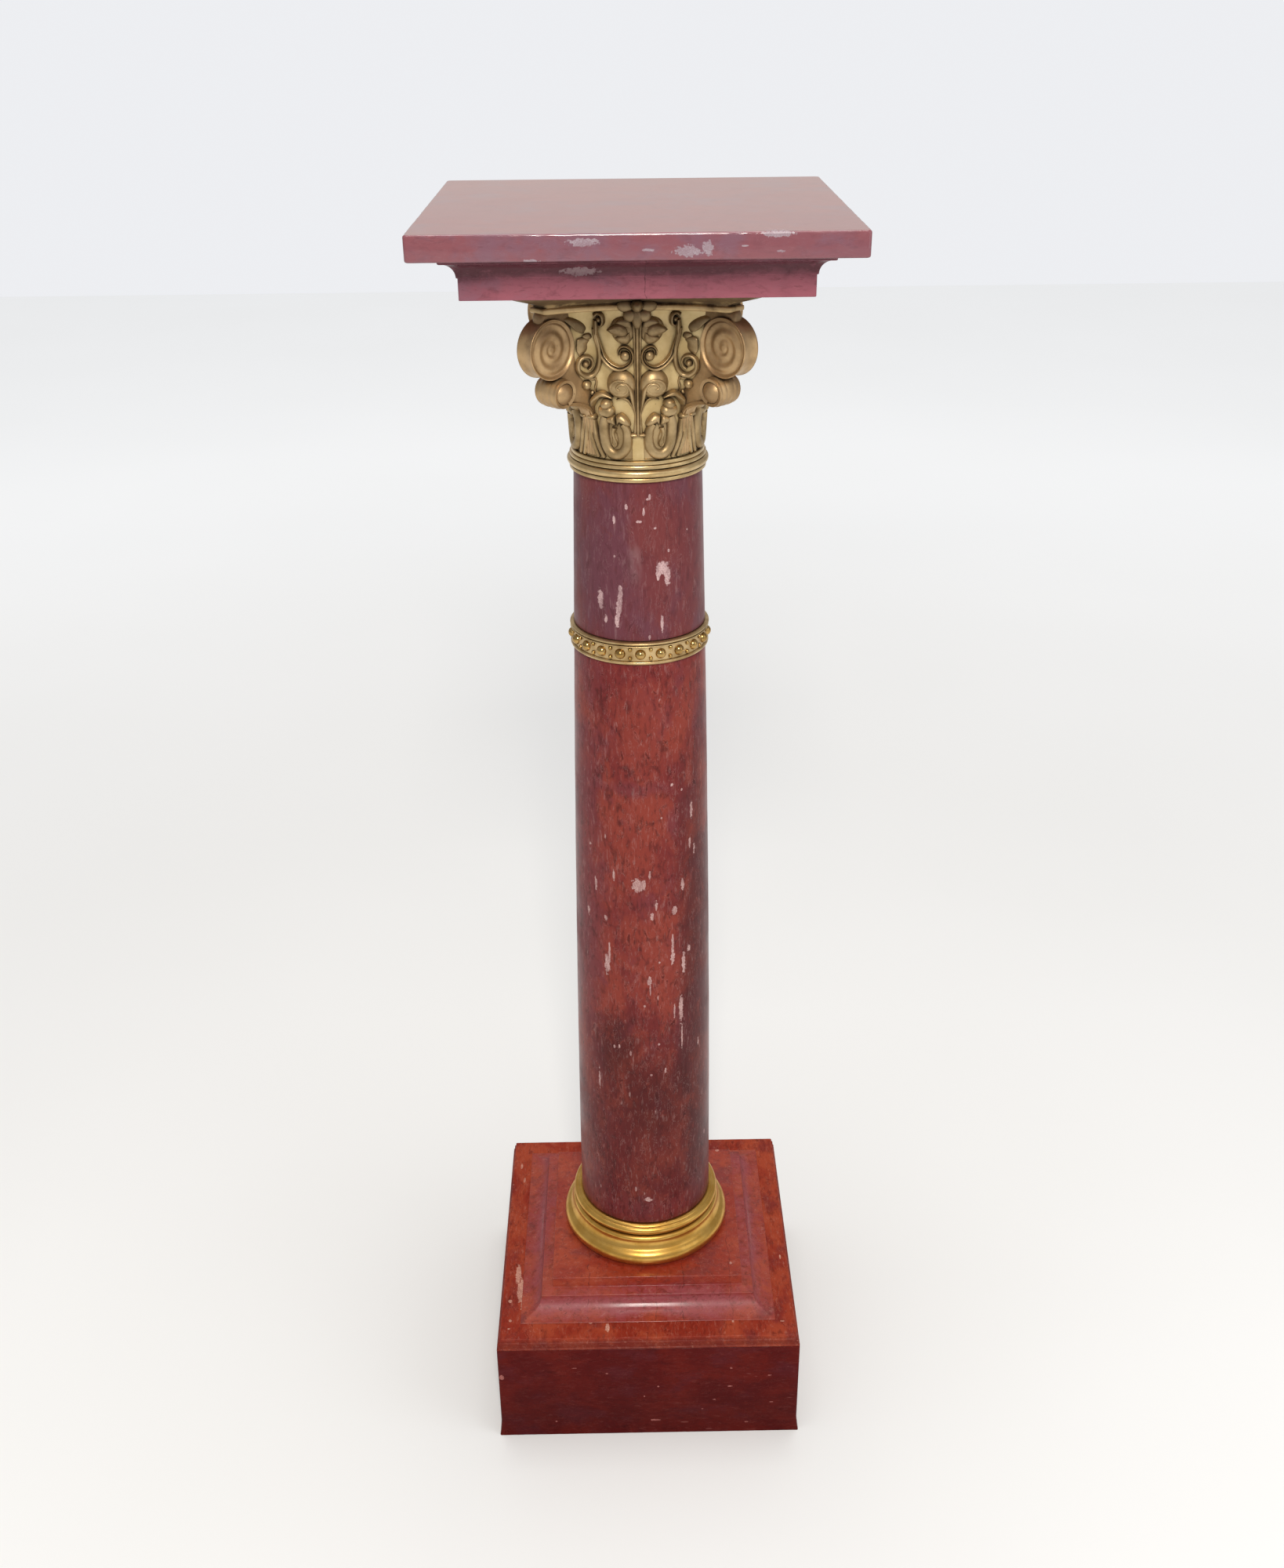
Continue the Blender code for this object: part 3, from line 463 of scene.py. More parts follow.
def turned(name, profile, finish, crease=32.0):
    """Round piece from a profile of (radius, height), top to bottom, closed by flat ends."""
    profile = np.array(profile)
    turn = np.arange(TURNED_SIDES) * 2.0 * math.pi / TURNED_SIDES
    points = np.empty((len(profile), TURNED_SIDES, 3))
    points[..., 0] = profile[:, :1] * np.cos(turn)
    points[..., 1] = profile[:, :1] * np.sin(turn)
    points[..., 2] = profile[:, 1:]
    return shape(name, points.reshape(-1, 3), capped(len(profile), TURNED_SIDES), finish, crease)


SHAFT_FOOT_RADIUS = 0.0623
base_low, base_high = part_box("base_ring")
torus_radius = base_high.x
torus_high = 0.0165
torus_middle = base_low.z + torus_high / 2.0
base_gilt = gilding("base_gilding", srgb(218, 172, 90), srgb(196, 148, 68), srgb(96, 60, 24),
                    roughness=0.31, reach=0.005, brushed=0.06)
base_ring = turned("base_ring_bronze", [
    (SHAFT_FOOT_RADIUS + 0.0012, base_high.z),
    (SHAFT_FOOT_RADIUS + 0.0030, base_high.z - 0.0004),
    (SHAFT_FOOT_RADIUS + 0.0038, base_high.z - 0.0014),
    *arc((SHAFT_FOOT_RADIUS + 0.0034, base_low.z + 0.0354), (0.0044, 0.0040), 84.0, -88.0, 14),
    (SHAFT_FOOT_RADIUS + 0.0036, base_low.z + 0.0308),
    (SHAFT_FOOT_RADIUS + 0.0040, base_low.z + 0.0300),
    *arc((SHAFT_FOOT_RADIUS + 0.0046, base_low.z + 0.0262), (0.0040, 0.0036), 80.0, -20.0, 10),
    (SHAFT_FOOT_RADIUS + 0.0088, base_low.z + 0.0226),
    (SHAFT_FOOT_RADIUS + 0.0098, base_low.z + 0.0198),
    (SHAFT_FOOT_RADIUS + 0.0112, base_low.z + 0.0178),
    (SHAFT_FOOT_RADIUS + 0.0109, base_low.z + 0.0173),
    *arc((torus_radius - 0.0082, torus_middle), (0.0082, torus_high / 2.0 + 0.0003),
         68.0, -66.0, 22),
    (torus_radius - 0.0052, base_low.z + 0.0006),
    (torus_radius - 0.0056, base_low.z),
], base_gilt, crease=40.0)
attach(base_ring, "root")
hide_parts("base_ring")


# Lower drum. The long lower length of the marble shaft, tapering upwards, its bed upright so that
# the streaks and the pale fossils run along it.

SHAFT_NECK_RADIUS = 0.0501
SHAFT_SWELL = 1.6
shaft_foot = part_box("shaft_lower")[0].z
shaft_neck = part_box("shaft_upper")[1].z


def shaft_radius(z):
    rise = max((z - shaft_foot) / (shaft_neck - shaft_foot), 0.0)
    return SHAFT_FOOT_RADIUS - (SHAFT_FOOT_RADIUS - SHAFT_NECK_RADIUS) * rise ** SHAFT_SWELL


def drum(name, node, finish):
    """A length of the shaft with eased ends and a surface that is never quite true."""
    low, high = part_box(node)
    count = max(round((high.z - low.z) / 0.006), 8)
    profile = [(shaft_radius(high.z) - 0.0008, high.z),
               (shaft_radius(high.z) - 0.0002, high.z - 0.0003)]
    for i in range(count + 1):
        z = high.z - 0.0012 - (high.z - low.z - 0.0024) * i / count
        profile.append((shaft_radius(z), z))
    profile += [(shaft_radius(low.z) - 0.0002, low.z + 0.0003),
                (shaft_radius(low.z) - 0.0008, low.z)]
    made = turned(name, profile, finish)
    for vertex in made.data.vertices:
        swell = noise.noise(vertex.co * 22.0) * 0.00012 - 0.00006
        vertex.co.x *= 1.0 + swell / SHAFT_NECK_RADIUS
        vertex.co.y *= 1.0 + swell / SHAFT_NECK_RADIUS
    return made


lower_spots = [
    (-0.0046, 0.5610, 0.0044, 0.0062), (0.0006, 0.5620, 0.0018, 0.0050),
    (0.0059, 0.5705, 0.0009, 0.0040), (0.0271, 0.5320, 0.0024, 0.0040),
    (0.0254, 0.4970, 0.0010, 0.0130), (0.0254, 0.4850, 0.0017, 0.0062),
    (-0.0318, 0.4775, 0.0021, 0.0100), (-0.0296, 0.4900, 0.0009, 0.0110),
    (0.0050, 0.4650, 0.0018, 0.0046), (0.0056, 0.4560, 0.0007, 0.0060),
    (0.0351, 0.4760, 0.0014, 0.0110), (0.0395, 0.4890, 0.0014, 0.0030),
    (0.0413, 0.6230, 0.0012, 0.0085), (0.0440, 0.5860, 0.0009, 0.0060),
    (0.0400, 0.5930, 0.0010, 0.0045), (0.0328, 0.4290, 0.0018, 0.0135),
    (0.0338, 0.3985, 0.0006, 0.0130), (0.0270, 0.4280, 0.0007, 0.0075),
    (-0.0400, 0.5550, 0.0011, 0.0070), (-0.0470, 0.5245, 0.0014, 0.0050),
    (-0.0245, 0.5690, 0.0009, 0.0060), (-0.0440, 0.5915, 0.0009, 0.0020),
    (-0.0322, 0.5245, 0.0012, 0.0026), (-0.0410, 0.3500, 0.0009, 0.0110),
    (-0.0270, 0.3920, 0.0008, 0.0018), (-0.0225, 0.3930, 0.0007, 0.0018),
    (0.0129, 0.3965, 0.0009, 0.0012), (0.0188, 0.3670, 0.0009, 0.0030),
    (0.0059, 0.3635, 0.0010, 0.0011), (0.0490, 0.3830, 0.0008, 0.0045),
    (0.0245, 0.6530, 0.0012, 0.0016), (0.0330, 0.6460, 0.0009, 0.0012),
    (0.0160, 0.6240, 0.0008, 0.0009), (0.0005, 0.4390, 0.0009, 0.0012),
    (0.0138, 0.4830, 0.0009, 0.0010), (0.0020, 0.2190, 0.0034, 0.0026),
    (0.0340, 0.5550, 0.0012, 0.0060), (0.0076, 0.5300, 0.0014, 0.0036),
    (0.0112, 0.5410, 0.0010, 0.0050),
]
lower_veils_and_painted_light = [
    (0.0015, 0.627, 0.016, 0.022, 1, 0.95), (-0.008, 0.585, 0.018, 0.015, 1, 0.75),
    (0.0085, 0.497, 0.012, 0.030, 1, 0.90), (-0.010, 0.514, 0.011, 0.014, 1, 0.75),
    (-0.036, 0.500, 0.009, 0.020, 1, 0.80), (0.002, 0.700, 0.020, 0.036, 1, 0.70),
    (-0.026, 0.390, 0.022, 0.034, 3, 0.60), (0.010, 0.330, 0.026, 0.040, 3, 0.50),
    (0.000, 0.290, 0.090, 0.110, 3, 0.42),
    # Painted light: the cool band down the left edge (x -0.050) is painted sheen, and the dark band
    # down the right edge (x 0.050) is painted shade.
    (-0.050, 0.560, 0.014, 0.180, 2, 0.80), (-0.008, 0.651, 0.026, 0.006, 2, 0.70),
    (0.0250, 0.616, 0.005, 0.013, 2, 0.80), (0.050, 0.450, 0.018, 0.220, 3, 0.62),
    (0.0, 0.205, 0.06, 0.012, 2, 0.35),
]
lower_marble = marble("lower_drum_marble", ((112, 41, 40), (134, 56, 45), (112, 50, 54),
                                            (62, 22, 22), (204, 170, 164)),
                      (1.0, 1.0, 0.26), lower_spots, (-0.055, 0.03), lower_veils_and_painted_light, freckles=0.75,
                      roughness=0.28, lustre=0.12, fray=2.2, streaky=0.85)
lower_drum = drum("lower_drum_marble_piece", "shaft_lower", lower_marble)
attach(lower_drum, "root")
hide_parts("shaft_lower")


# Beaded ring. A gilt bronze collar that hides the joint between the drums: two thin rims, a band
# with large round beads and a pair of small ones, above and below, in each gap between them.

class Casting:
    """Gathers the forms of one casting into one mesh."""

    def __init__(self):
        self.points = []
        self.faces = []
        self.count = 0

    def add(self, points, faces):
        self.points.append(points)
        self.faces += [tuple(i + self.count for i in face) for face in faces]
        self.count += len(points)

    def add_turned(self, points, faces, times, start=0.0):
        """The same form at equal turns round the upright axis."""
        for i in range(times):
            angle = start + 2.0 * math.pi * i / times
            c, s = math.cos(angle), math.sin(angle)
            self.add(points @ np.array(((c, s, 0.0), (-s, c, 0.0), (0.0, 0.0, 1.0))), faces)

    def add_sides(self, points, faces, mirrored=True):
        """The same form on each of the four sides, and mirrored about the middle of each."""
        self.add_turned(points, faces, 4)
        if mirrored:
            self.add_turned(points * (-1.0, 1.0, 1.0), [tuple(reversed(face)) for face in faces], 4)

    def shape(self, name, finish, crease=50.0):
        return shape(name, np.concatenate(self.points), self.faces, finish, crease)


def ball(half, rows, columns):
    """Rounded boss about its own middle, with its poles along Y; half is its half size each way."""
    across = np.linspace(0.0, math.pi, rows + 1)[1:-1]
    turn = np.arange(columns) * 2.0 * math.pi / columns
    tilt, spin = np.meshgrid(across, turn, indexing="ij")
    body = np.stack((np.sin(tilt) * np.cos(spin), -np.cos(tilt), np.sin(tilt) * np.sin(spin)),
                    axis=-1)
    points = np.concatenate((body.reshape(-1, 3), ((0.0, -1.0, 0.0), (0.0, 1.0, 0.0))))
    faces = lattice(rows - 1, columns)
    last = (rows - 2) * columns
    near, far = len(points) - 2, len(points) - 1
    for j in range(columns):
        k = (j + 1) % columns
        faces += [(near, j, k), (far, last + k, last + j)]
    return points * half, faces


BEAD_COUNT = 21
BEAD_RADIUS = 0.0044
SMALL_BEAD_RADIUS = 0.0016
BAND_LIFT = 0.0010
ring_low, ring_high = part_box("beaded_ring")
ring_middle = (ring_low.z + ring_high.z) / 2.0
ring_radius = shaft_radius(ring_middle)
ring_gilt = gilding("ring_gilding", srgb(206, 178, 130), srgb(166, 136, 90), srgb(62, 44, 26),
                    roughness=0.34, reach=0.0045, brushed=0.10, metallic=0.9)
collar = turned("beaded_ring_bronze", [
    (ring_radius + 0.0002, ring_high.z),
    (ring_radius + 0.0018, ring_high.z - 0.0002),
    *arc((ring_radius + 0.0018, ring_high.z - 0.0013), (0.0011, 0.0010), 84.0, -84.0, 10),
    (ring_radius + 0.0014, ring_high.z - 0.0027),
    *arc((ring_radius + 0.0016, ring_high.z - 0.0036), (0.0010, 0.0007), 80.0, -80.0, 8),
    (ring_radius + BAND_LIFT, ring_high.z - 0.0047),
    (ring_radius + BAND_LIFT, ring_low.z + 0.0034),
    *arc((ring_radius + 0.0015, ring_low.z + 0.0018), (0.0011, 0.0013), 80.0, -84.0, 10),
    (ring_radius + 0.0012, ring_low.z),
], ring_gilt, crease=50.0)
bead, bead_faces = ball((BEAD_RADIUS, BEAD_RADIUS, BEAD_RADIUS), 14, 20)
bead_seat = ring_high.x - BEAD_RADIUS
beads = Casting()
beads.add_turned(bead + (0.0, -bead_seat, ring_middle - 0.0006), bead_faces, BEAD_COUNT)
small, small_faces = ball((SMALL_BEAD_RADIUS, SMALL_BEAD_RADIUS, SMALL_BEAD_RADIUS * 1.15), 8, 12)
for height in (-0.0040, 0.0034):
    beads.add_turned(small + (0.0, -ring_radius - BAND_LIFT - 0.0004, ring_middle + height),
                     small_faces, BEAD_COUNT, math.pi / BEAD_COUNT)
bead_gilt = gilding("bead_gilding", srgb(188, 154, 96), srgb(158, 124, 70), srgb(62, 44, 24),
                    roughness=0.20, reach=0.002, brushed=0.04)
for made in (collar, beads.shape("ring_beads_bronze", bead_gilt)):
    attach(made, "root")
    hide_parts("beaded_ring")


# Upper drum. The short upper length of the marble shaft, between the beaded ring and the neck
# ring; its stone is duller and greyer than the lower drum's, with larger pale fossils.

upper_spots = [
    (0.0179, 0.8404, 0.0050, 0.0046), (0.0145, 0.8360, 0.0018, 0.0052),
    (0.0214, 0.8330, 0.0024, 0.0072), (-0.0306, 0.8136, 0.0021, 0.0078),
    (-0.0151, 0.8185, 0.0017, 0.0078), (-0.0166, 0.8081, 0.0020, 0.0080),
    (-0.0178, 0.7975, 0.0017, 0.0056), (-0.0266, 0.7974, 0.0011, 0.0034),
    (0.0173, 0.7947, 0.0011, 0.0072), (0.0073, 0.7843, 0.0010, 0.0022),
    (0.0081, 0.8965, 0.0011, 0.0022), (0.0066, 0.8950, 0.0012, 0.0010),
    (-0.0097, 0.8892, 0.0011, 0.0020), (0.0000, 0.8776, 0.0024, 0.0010),
    (0.0035, 0.8850, 0.0008, 0.0034), (-0.0191, 0.8782, 0.0011, 0.0036),
    (0.0225, 0.8532, 0.0008, 0.0012), (0.0370, 0.8663, 0.0008, 0.0015),
    (-0.0192, 0.8496, 0.0008, 0.0010), (-0.0430, 0.8900, 0.0007, 0.0026),
    (0.0120, 0.8720, 0.0010, 0.0008),
]
upper_veils_and_painted_sheen = [
    # Painted sheen: the cool veil over the left side (x -0.024) stands for a mauve sheen.
    (-0.004, 0.846, 0.005, 0.014, 4, 0.22), (-0.024, 0.850, 0.022, 0.060, 2, 0.80),
    (0.020, 0.850, 0.020, 0.045, 1, 0.5),
]
upper_marble = marble("upper_drum_marble", ((104, 50, 54), (112, 54, 54), (100, 58, 68),
                                            (76, 38, 42), (208, 176, 174)),
                      (1.0, 1.0, 0.2), upper_spots, (-0.048, 0.02), upper_veils_and_painted_sheen, freckles=0.2,
                      roughness=0.32, lustre=0.12, fray=1.8, streaky=0.6)
upper_drum = drum("upper_drum_marble_piece", "shaft_upper", upper_marble)
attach(upper_drum, "root")
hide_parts("shaft_upper")


# Neck ring. A turned ring of gilt bronze between the shaft and the capital: a lip, a bright roll in
# two dark grooves, and a stepped band.

neck_low, neck_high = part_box("neck_ring")
neck_gilt = gilding("neck_gilding", srgb(214, 186, 136), srgb(184, 156, 108), srgb(74, 54, 32),
                    roughness=0.32, reach=0.004, brushed=0.10, metallic=0.9)
neck_ring = turned("neck_ring_bronze", [
    (SHAFT_NECK_RADIUS + 0.0002, neck_high.z),
    (SHAFT_NECK_RADIUS + 0.0013, neck_high.z - 0.0003),
    (SHAFT_NECK_RADIUS + 0.0015, neck_high.z - 0.0010),
    (SHAFT_NECK_RADIUS + 0.0015, neck_high.z - 0.0026),
    (SHAFT_NECK_RADIUS + 0.0010, neck_high.z - 0.0030),
    (SHAFT_NECK_RADIUS + 0.0024, neck_high.z - 0.0034),
    (SHAFT_NECK_RADIUS + 0.0027, neck_high.z - 0.0040),
    (SHAFT_NECK_RADIUS + 0.0027, neck_high.z - 0.0056),
    (SHAFT_NECK_RADIUS + 0.0008, neck_high.z - 0.0064),
    *arc((SHAFT_NECK_RADIUS + 0.0018, neck_low.z + 0.0066), (0.0029, 0.0030), 78.0, -78.0, 16),
    (SHAFT_NECK_RADIUS + 0.0009, neck_low.z + 0.0034),
    (SHAFT_NECK_RADIUS + 0.0026, neck_low.z + 0.0030),
    (SHAFT_NECK_RADIUS + 0.0029, neck_low.z + 0.0024),
    (SHAFT_NECK_RADIUS + 0.0028, neck_low.z + 0.0006),
    (SHAFT_NECK_RADIUS + 0.0020, neck_low.z),
], neck_gilt)
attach(neck_ring, "root")
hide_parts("neck_ring")


# Capital, its bell. The capital is one hollow casting in gilt bronze, chased after casting. The
# bell is its round wall, which flares upwards and is drawn out to the four corners at the top.

CAPITAL_CREASE = 66.0
ABACUS_HEIGHT = 0.0183
BELL_FOOT_RADIUS = 0.0489
BELL_LIP_RADIUS = 0.0585
BELL_ROWS = 60
BELL_COLUMNS = 64
FILLET_START = 27.0
FILLET_REACH = 0.0260
capital_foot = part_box("capital")[0].z
capital_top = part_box("capital")[1].z
abacus_foot = capital_top - ABACUS_HEIGHT
bell_height = abacus_foot - capital_foot


def smooth(value, low, high):
    """0 at low, 1 at high, eased between them, for numbers and arrays."""
    t = np.clip((np.asarray(value, float) - low) / (high - low), 0.0, 1.0)
    return t * t * (3.0 - 2.0 * t)


def on_bell(degrees, share, lift=0.0):
    """Point on the front of the bell: degrees to the side, share of its height, lift off it."""
    degrees, share = np.asarray(degrees, float), np.asarray(share, float)
    beyond = np.clip((np.abs(degrees) - FILLET_START) / (45.0 - FILLET_START), 0.0, 1.4)
    swell = FILLET_REACH * beyond ** 2 * smooth(share, 0.40, 0.62)
    flare = (BELL_LIP_RADIUS - BELL_FOOT_RADIUS) * np.clip(share, 0.0, 1.2) ** 2
    radius = BELL_FOOT_RADIUS + flare + swell + lift
    angle = np.radians(degrees)
    return np.stack((radius * np.sin(angle), -radius * np.cos(angle),
                     capital_foot + share * bell_height), axis=-1)


QUARTER_TURNS = [np.array(((c, s, 0.0), (-s, c, 0.0), (0.0, 0.0, 1.0)))
                 for c, s in ((1, 0), (0, 1), (-1, 0), (0, -1))]
bell_degrees = np.arange(BELL_COLUMNS) * 90.0 / BELL_COLUMNS - 45.0
degrees, shares = np.meshgrid(bell_degrees, np.linspace(1.02, 0.0, BELL_ROWS), indexing="xy")
quarter = on_bell(degrees, shares)
ground = np.concatenate([quarter @ turn for turn in QUARTER_TURNS], axis=1)
bell_gilt = gilding("bell_gilding", srgb(208, 184, 134), srgb(190, 164, 112), srgb(84, 64, 42),
                    roughness=0.48, reach=0.004, metallic=0.55)
bell = shape("capital_bell_bronze", ground.reshape(-1, 3), capped(BELL_ROWS, 4 * BELL_COLUMNS),
             bell_gilt, CAPITAL_CREASE)
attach(bell, "root")
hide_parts("capital")


# Capital, its abacus. The gilt bronze block at the top of the casting, with hollow sides and cut
# corners, on which the marble of the top lies.

ABACUS_BAND = 0.0050
ABACUS_CORNER_REACH = 0.0995
ABACUS_SIDE_REACH = 0.0600
ABACUS_FLARE = 0.0190
ABACUS_CUT = 0.0140
ABACUS_SIDE_STEPS = 33


def abacus():
    """Block with hollow sides and cut corners: a plain band, a small step and a hollow flare."""
    flare_height = ABACUS_HEIGHT - ABACUS_BAND
    levels = [(-0.0040, 0.0), (-0.0012, 0.0004), (-0.0002, 0.0010), (0.0, 0.0018),
              (0.0, ABACUS_BAND - 0.0018), (-0.0004, ABACUS_BAND - 0.0010),
              (-0.0030, ABACUS_BAND - 0.0006), (-0.0036, ABACUS_BAND)]
    levels += [(out * ABACUS_FLARE, ABACUS_BAND + rise * flare_height) for out, rise in (
        (-0.12, 0.04), (-0.02, 0.11), (0.16, 0.19), (0.38, 0.27), (0.64, 0.36), (0.86, 0.46),
        (0.97, 0.56), (1.0, 0.68), (1.0, 1.0))]
    loops = []
    for spread, height in reversed(levels):
        corner = ABACUS_CORNER_REACH + spread
        side_reach = ABACUS_SIDE_REACH + spread * 0.7
        half_chord = (corner - ABACUS_CUT / 2.0) / math.sqrt(2.0)
        hollow = (corner + ABACUS_CUT / 2.0) / math.sqrt(2.0) - side_reach
        radius = (half_chord ** 2 + hollow ** 2) / (2.0 * hollow)
        sweep = math.asin(half_chord / radius)
        middle = side_reach + radius
        angles = sweep * np.linspace(-1.0, 1.0, ABACUS_SIDE_STEPS)
        side = np.stack((radius * np.sin(angles), radius * np.cos(angles) - middle,
                         np.full(ABACUS_SIDE_STEPS, abacus_foot + height)), axis=-1)
        loops += [side @ turn for turn in QUARTER_TURNS]
    return np.concatenate(loops), capped(len(levels), 4 * ABACUS_SIDE_STEPS)


# Painted shade: this gilding is browner than the bell's and goes browner still up the flare, for
# the shade under the top moulding.
crown_gilt = gilding("abacus_gilding", srgb(196, 168, 120), srgb(160, 132, 90), srgb(66, 48, 38),
                     roughness=0.46, reach=0.004, metallic=0.60,
                     painted_shade_heights=(abacus_foot + 0.0035, abacus_foot + 0.0070, 0.70))
crown = shape("capital_abacus_bronze", *abacus(), crown_gilt, CAPITAL_CREASE)
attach(crown, "root")
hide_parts("capital")


# Capital, its relief. A reeded stalk with its knot, bud leaves, scrolls, tendrils and knobs, cast
# with the bell and chased. Each stands on the bell's ground and repeats on every side.

def swept(path, out, section, widths, heights):
    """A form swept along a path; the section is (across, out) in half widths and heights."""
    path = np.asarray(path, float)
    out = np.asarray(out, float)
    along = np.gradient(path, axis=0)
    along /= np.linalg.norm(along, axis=1, keepdims=True)
    across = np.cross(along, out)
    across /= np.linalg.norm(across, axis=1, keepdims=True)
    out = np.cross(across, along)
    section = np.asarray(section, float)
    widths = np.broadcast_to(widths, len(path))[:, None, None]
    heights = np.broadcast_to(heights, len(path))[:, None, None]
    points = (path[:, None] + across[:, None] * section[None, :, :1] * widths
              + out[:, None] * section[None, :, 1:] * heights).reshape(-1, 3)
    return facing_out(points, capped(len(path), len(section)))


def facing_out(points, faces):
    """The same closed form with its faces turned outwards."""
    volume = 0.0
    for face in faces:
        first = points[face[0]]
        for i, j in zip(face[1:], face[2:]):
            volume += np.dot(first, np.cross(points[i], points[j]))
    return points, faces if volume > 0.0 else [tuple(reversed(face)) for face in faces]


def curve_through(knots, count):
    """Even points on a smooth curve through the knots."""
    knots = np.asarray(knots, float)
    padded = np.concatenate((2.0 * knots[:1] - knots[1:2], knots, 2.0 * knots[-1:] - knots[-2:-1]))
    found = []
    for t in np.linspace(0.0, len(knots) - 1.000001, count):
        i = int(t)
        u = t - i
        a, b, c, d = padded[i:i + 4]
        found.append(0.5 * (2 * b + (c - a) * u + (2 * a - 5 * b + 4 * c - d) * u ** 2
                            + (3 * b - a - 3 * c + d) * u ** 3))
    return np.array(found)


def outward(degrees, share):
    """Directions across, out of and up the bell's ground at a place on it."""
    across = on_bell(degrees + 0.5, share) - on_bell(degrees - 0.5, share)
    up = on_bell(degrees, share + 0.005) - on_bell(degrees, share - 0.005)
    out = np.cross(across, up)
    out /= np.linalg.norm(out)
    across /= np.linalg.norm(across)
    return across, out, np.cross(out, across)


def along_bell(places, section, widths, heights):
    """A form swept along places (degrees, share) on the bell."""
    path = np.array([on_bell(d, s) for d, s in places])
    out = np.array([outward(d, s)[1] for d, s in places])
    return swept(path, out, section, widths, heights)


def set_on_bell(form, degrees, share, lift=0.0, tilt=0.0):
    """A boss with its pole pointing out of the bell, turned in its own plane by tilt degrees."""
    points, faces = form
    across, out, up = outward(degrees, share)
    c, s = math.cos(math.radians(tilt)), math.sin(math.radians(tilt))
    x, y, z = points[:, :1], points[:, 1:2], points[:, 2:]
    placed = on_bell(degrees, share, lift) + (x * c - z * s) * across - y * out
    return placed + (x * s + z * c) * up, faces


DOUBLE_RIDGE = [(-1.0, -0.6), (-1.0, 0.45), (-0.86, 0.80), (-0.66, 0.88), (-0.48, 0.70),
                (-0.34, 0.38), (-0.18, 0.34), (-0.06, 0.62), (0.16, 0.92), (0.46, 1.0),
                (0.76, 0.90), (0.94, 0.60), (1.0, 0.25), (1.0, -0.6)]
ROUND_RIDGE = [(-1.0, -0.6), (-0.97, 0.15), (-0.82, 0.56), (-0.56, 0.84), (-0.24, 0.98), (0.0, 1.0),
               (0.24, 0.98), (0.56, 0.84), (0.82, 0.56), (0.97, 0.15), (1.0, -0.6)]
THREE_REEDS = [(-1.0, -0.5), (-1.0, 0.30), (-0.86, 0.62), (-0.62, 0.70), (-0.44, 0.50),
               (-0.34, 0.60), (-0.18, 0.94), (0.0, 1.0), (0.18, 0.94), (0.34, 0.60), (0.44, 0.50),
               (0.62, 0.70), (0.86, 0.62), (1.0, 0.30), (1.0, -0.5)]


def ridge(knots, half_widths, height, count=40):
    """A raised line through places on the bell; half widths and heights run from end to end."""
    places = curve_through(knots, count)
    run = np.linspace(0.0, 1.0, count)
    widths = np.interp(run, np.linspace(0.0, 1.0, len(half_widths)), half_widths)
    if np.ndim(height):
        height = np.interp(run, np.linspace(0.0, 1.0, len(height)), height)
    return along_bell(places, ROUND_RIDGE, widths, height)


LOBE_FOOT = -0.0020


def lobe(edge, crest, height, count=44):
    """A swelling leaf on the bell: its edge and the line along its top are given as places."""
    pitch = np.array((math.radians(1.0) * BELL_LIP_RADIUS, bell_height))
    edge = curve_through([*edge, edge[0]], count + 1)[:-1] * pitch
    crest = curve_through(crest, 16) * pitch
    away = np.linalg.norm(edge[:, None] - crest[None], axis=2)
    pull = np.exp(-(away / away.min(axis=1, keepdims=True)) ** 2 * 4.0)
    target = (pull[..., None] * crest[None]).sum(axis=1) / pull.sum(axis=1)[:, None]
    rings = []
    for t in (0.0, 0.0, 0.05, 0.12, 0.22, 0.36, 0.52, 0.70, 0.90):
        lift = height * math.sqrt(1.0 - (1.0 - t) ** 2) if rings else LOBE_FOOT
        flat = (edge + (target - edge) * t) / pitch
        rings.append(np.array([on_bell(d, s, lift) for d, s in flat]))
    return facing_out(np.concatenate(rings), capped(len(rings), count))


relief = Casting()
stalk_shares = np.linspace(0.175, 1.0, 40)
stalk_widths = np.interp(stalk_shares, (0.175, 0.30, 0.55, 0.80, 0.90, 1.0),
                         (0.0034, 0.0026, 0.0025, 0.0030, 0.0036, 0.0042))
relief.add_sides(*along_bell([(0.0, s) for s in stalk_shares], THREE_REEDS, stalk_widths, 0.0030),
                 mirrored=False)
relief.add_sides(*lobe([(0.4, 0.168), (2.6, 0.160), (6.0, 0.164), (7.4, 0.176), (5.6, 0.190),
                        (2.8, 0.192), (0.4, 0.186)], [(1.6, 0.177), (5.6, 0.177)], 0.0034))

# Bud leaves at the top: on one body a pointed main lobe, a back lobe and a drooping lower one.
for form in (
    lobe([(20.4, 0.872), (17.8, 0.930), (12.4, 0.958), (6.0, 0.955), (3.0, 0.905), (3.0, 0.830),
          (7.0, 0.788), (12.4, 0.782), (17.0, 0.812)], [(16.0, 0.872), (7.0, 0.872)], 0.0034),
    lobe([(22.4, 0.873), (18.4, 0.905), (13.6, 0.925), (9.0, 0.915), (6.0, 0.880), (6.4, 0.840),
          (10.0, 0.822), (14.6, 0.830), (18.7, 0.848)],
         [(18.6, 0.876), (14.4, 0.884), (10.2, 0.868)], 0.0060),
    lobe([(16.6, 0.918), (12.7, 0.950), (7.3, 0.957), (3.8, 0.925), (3.8, 0.880), (8.0, 0.878),
          (13.0, 0.896)], [(12.6, 0.925), (7.0, 0.925)], 0.0042),
    lobe([(4.2, 0.875), (8.0, 0.858), (13.6, 0.842), (16.6, 0.826), (14.6, 0.800), (11.5, 0.784),
          (7.4, 0.783), (4.6, 0.815)], [(12.4, 0.822), (8.2, 0.822)], 0.0050),
):
    relief.add_sides(*form)

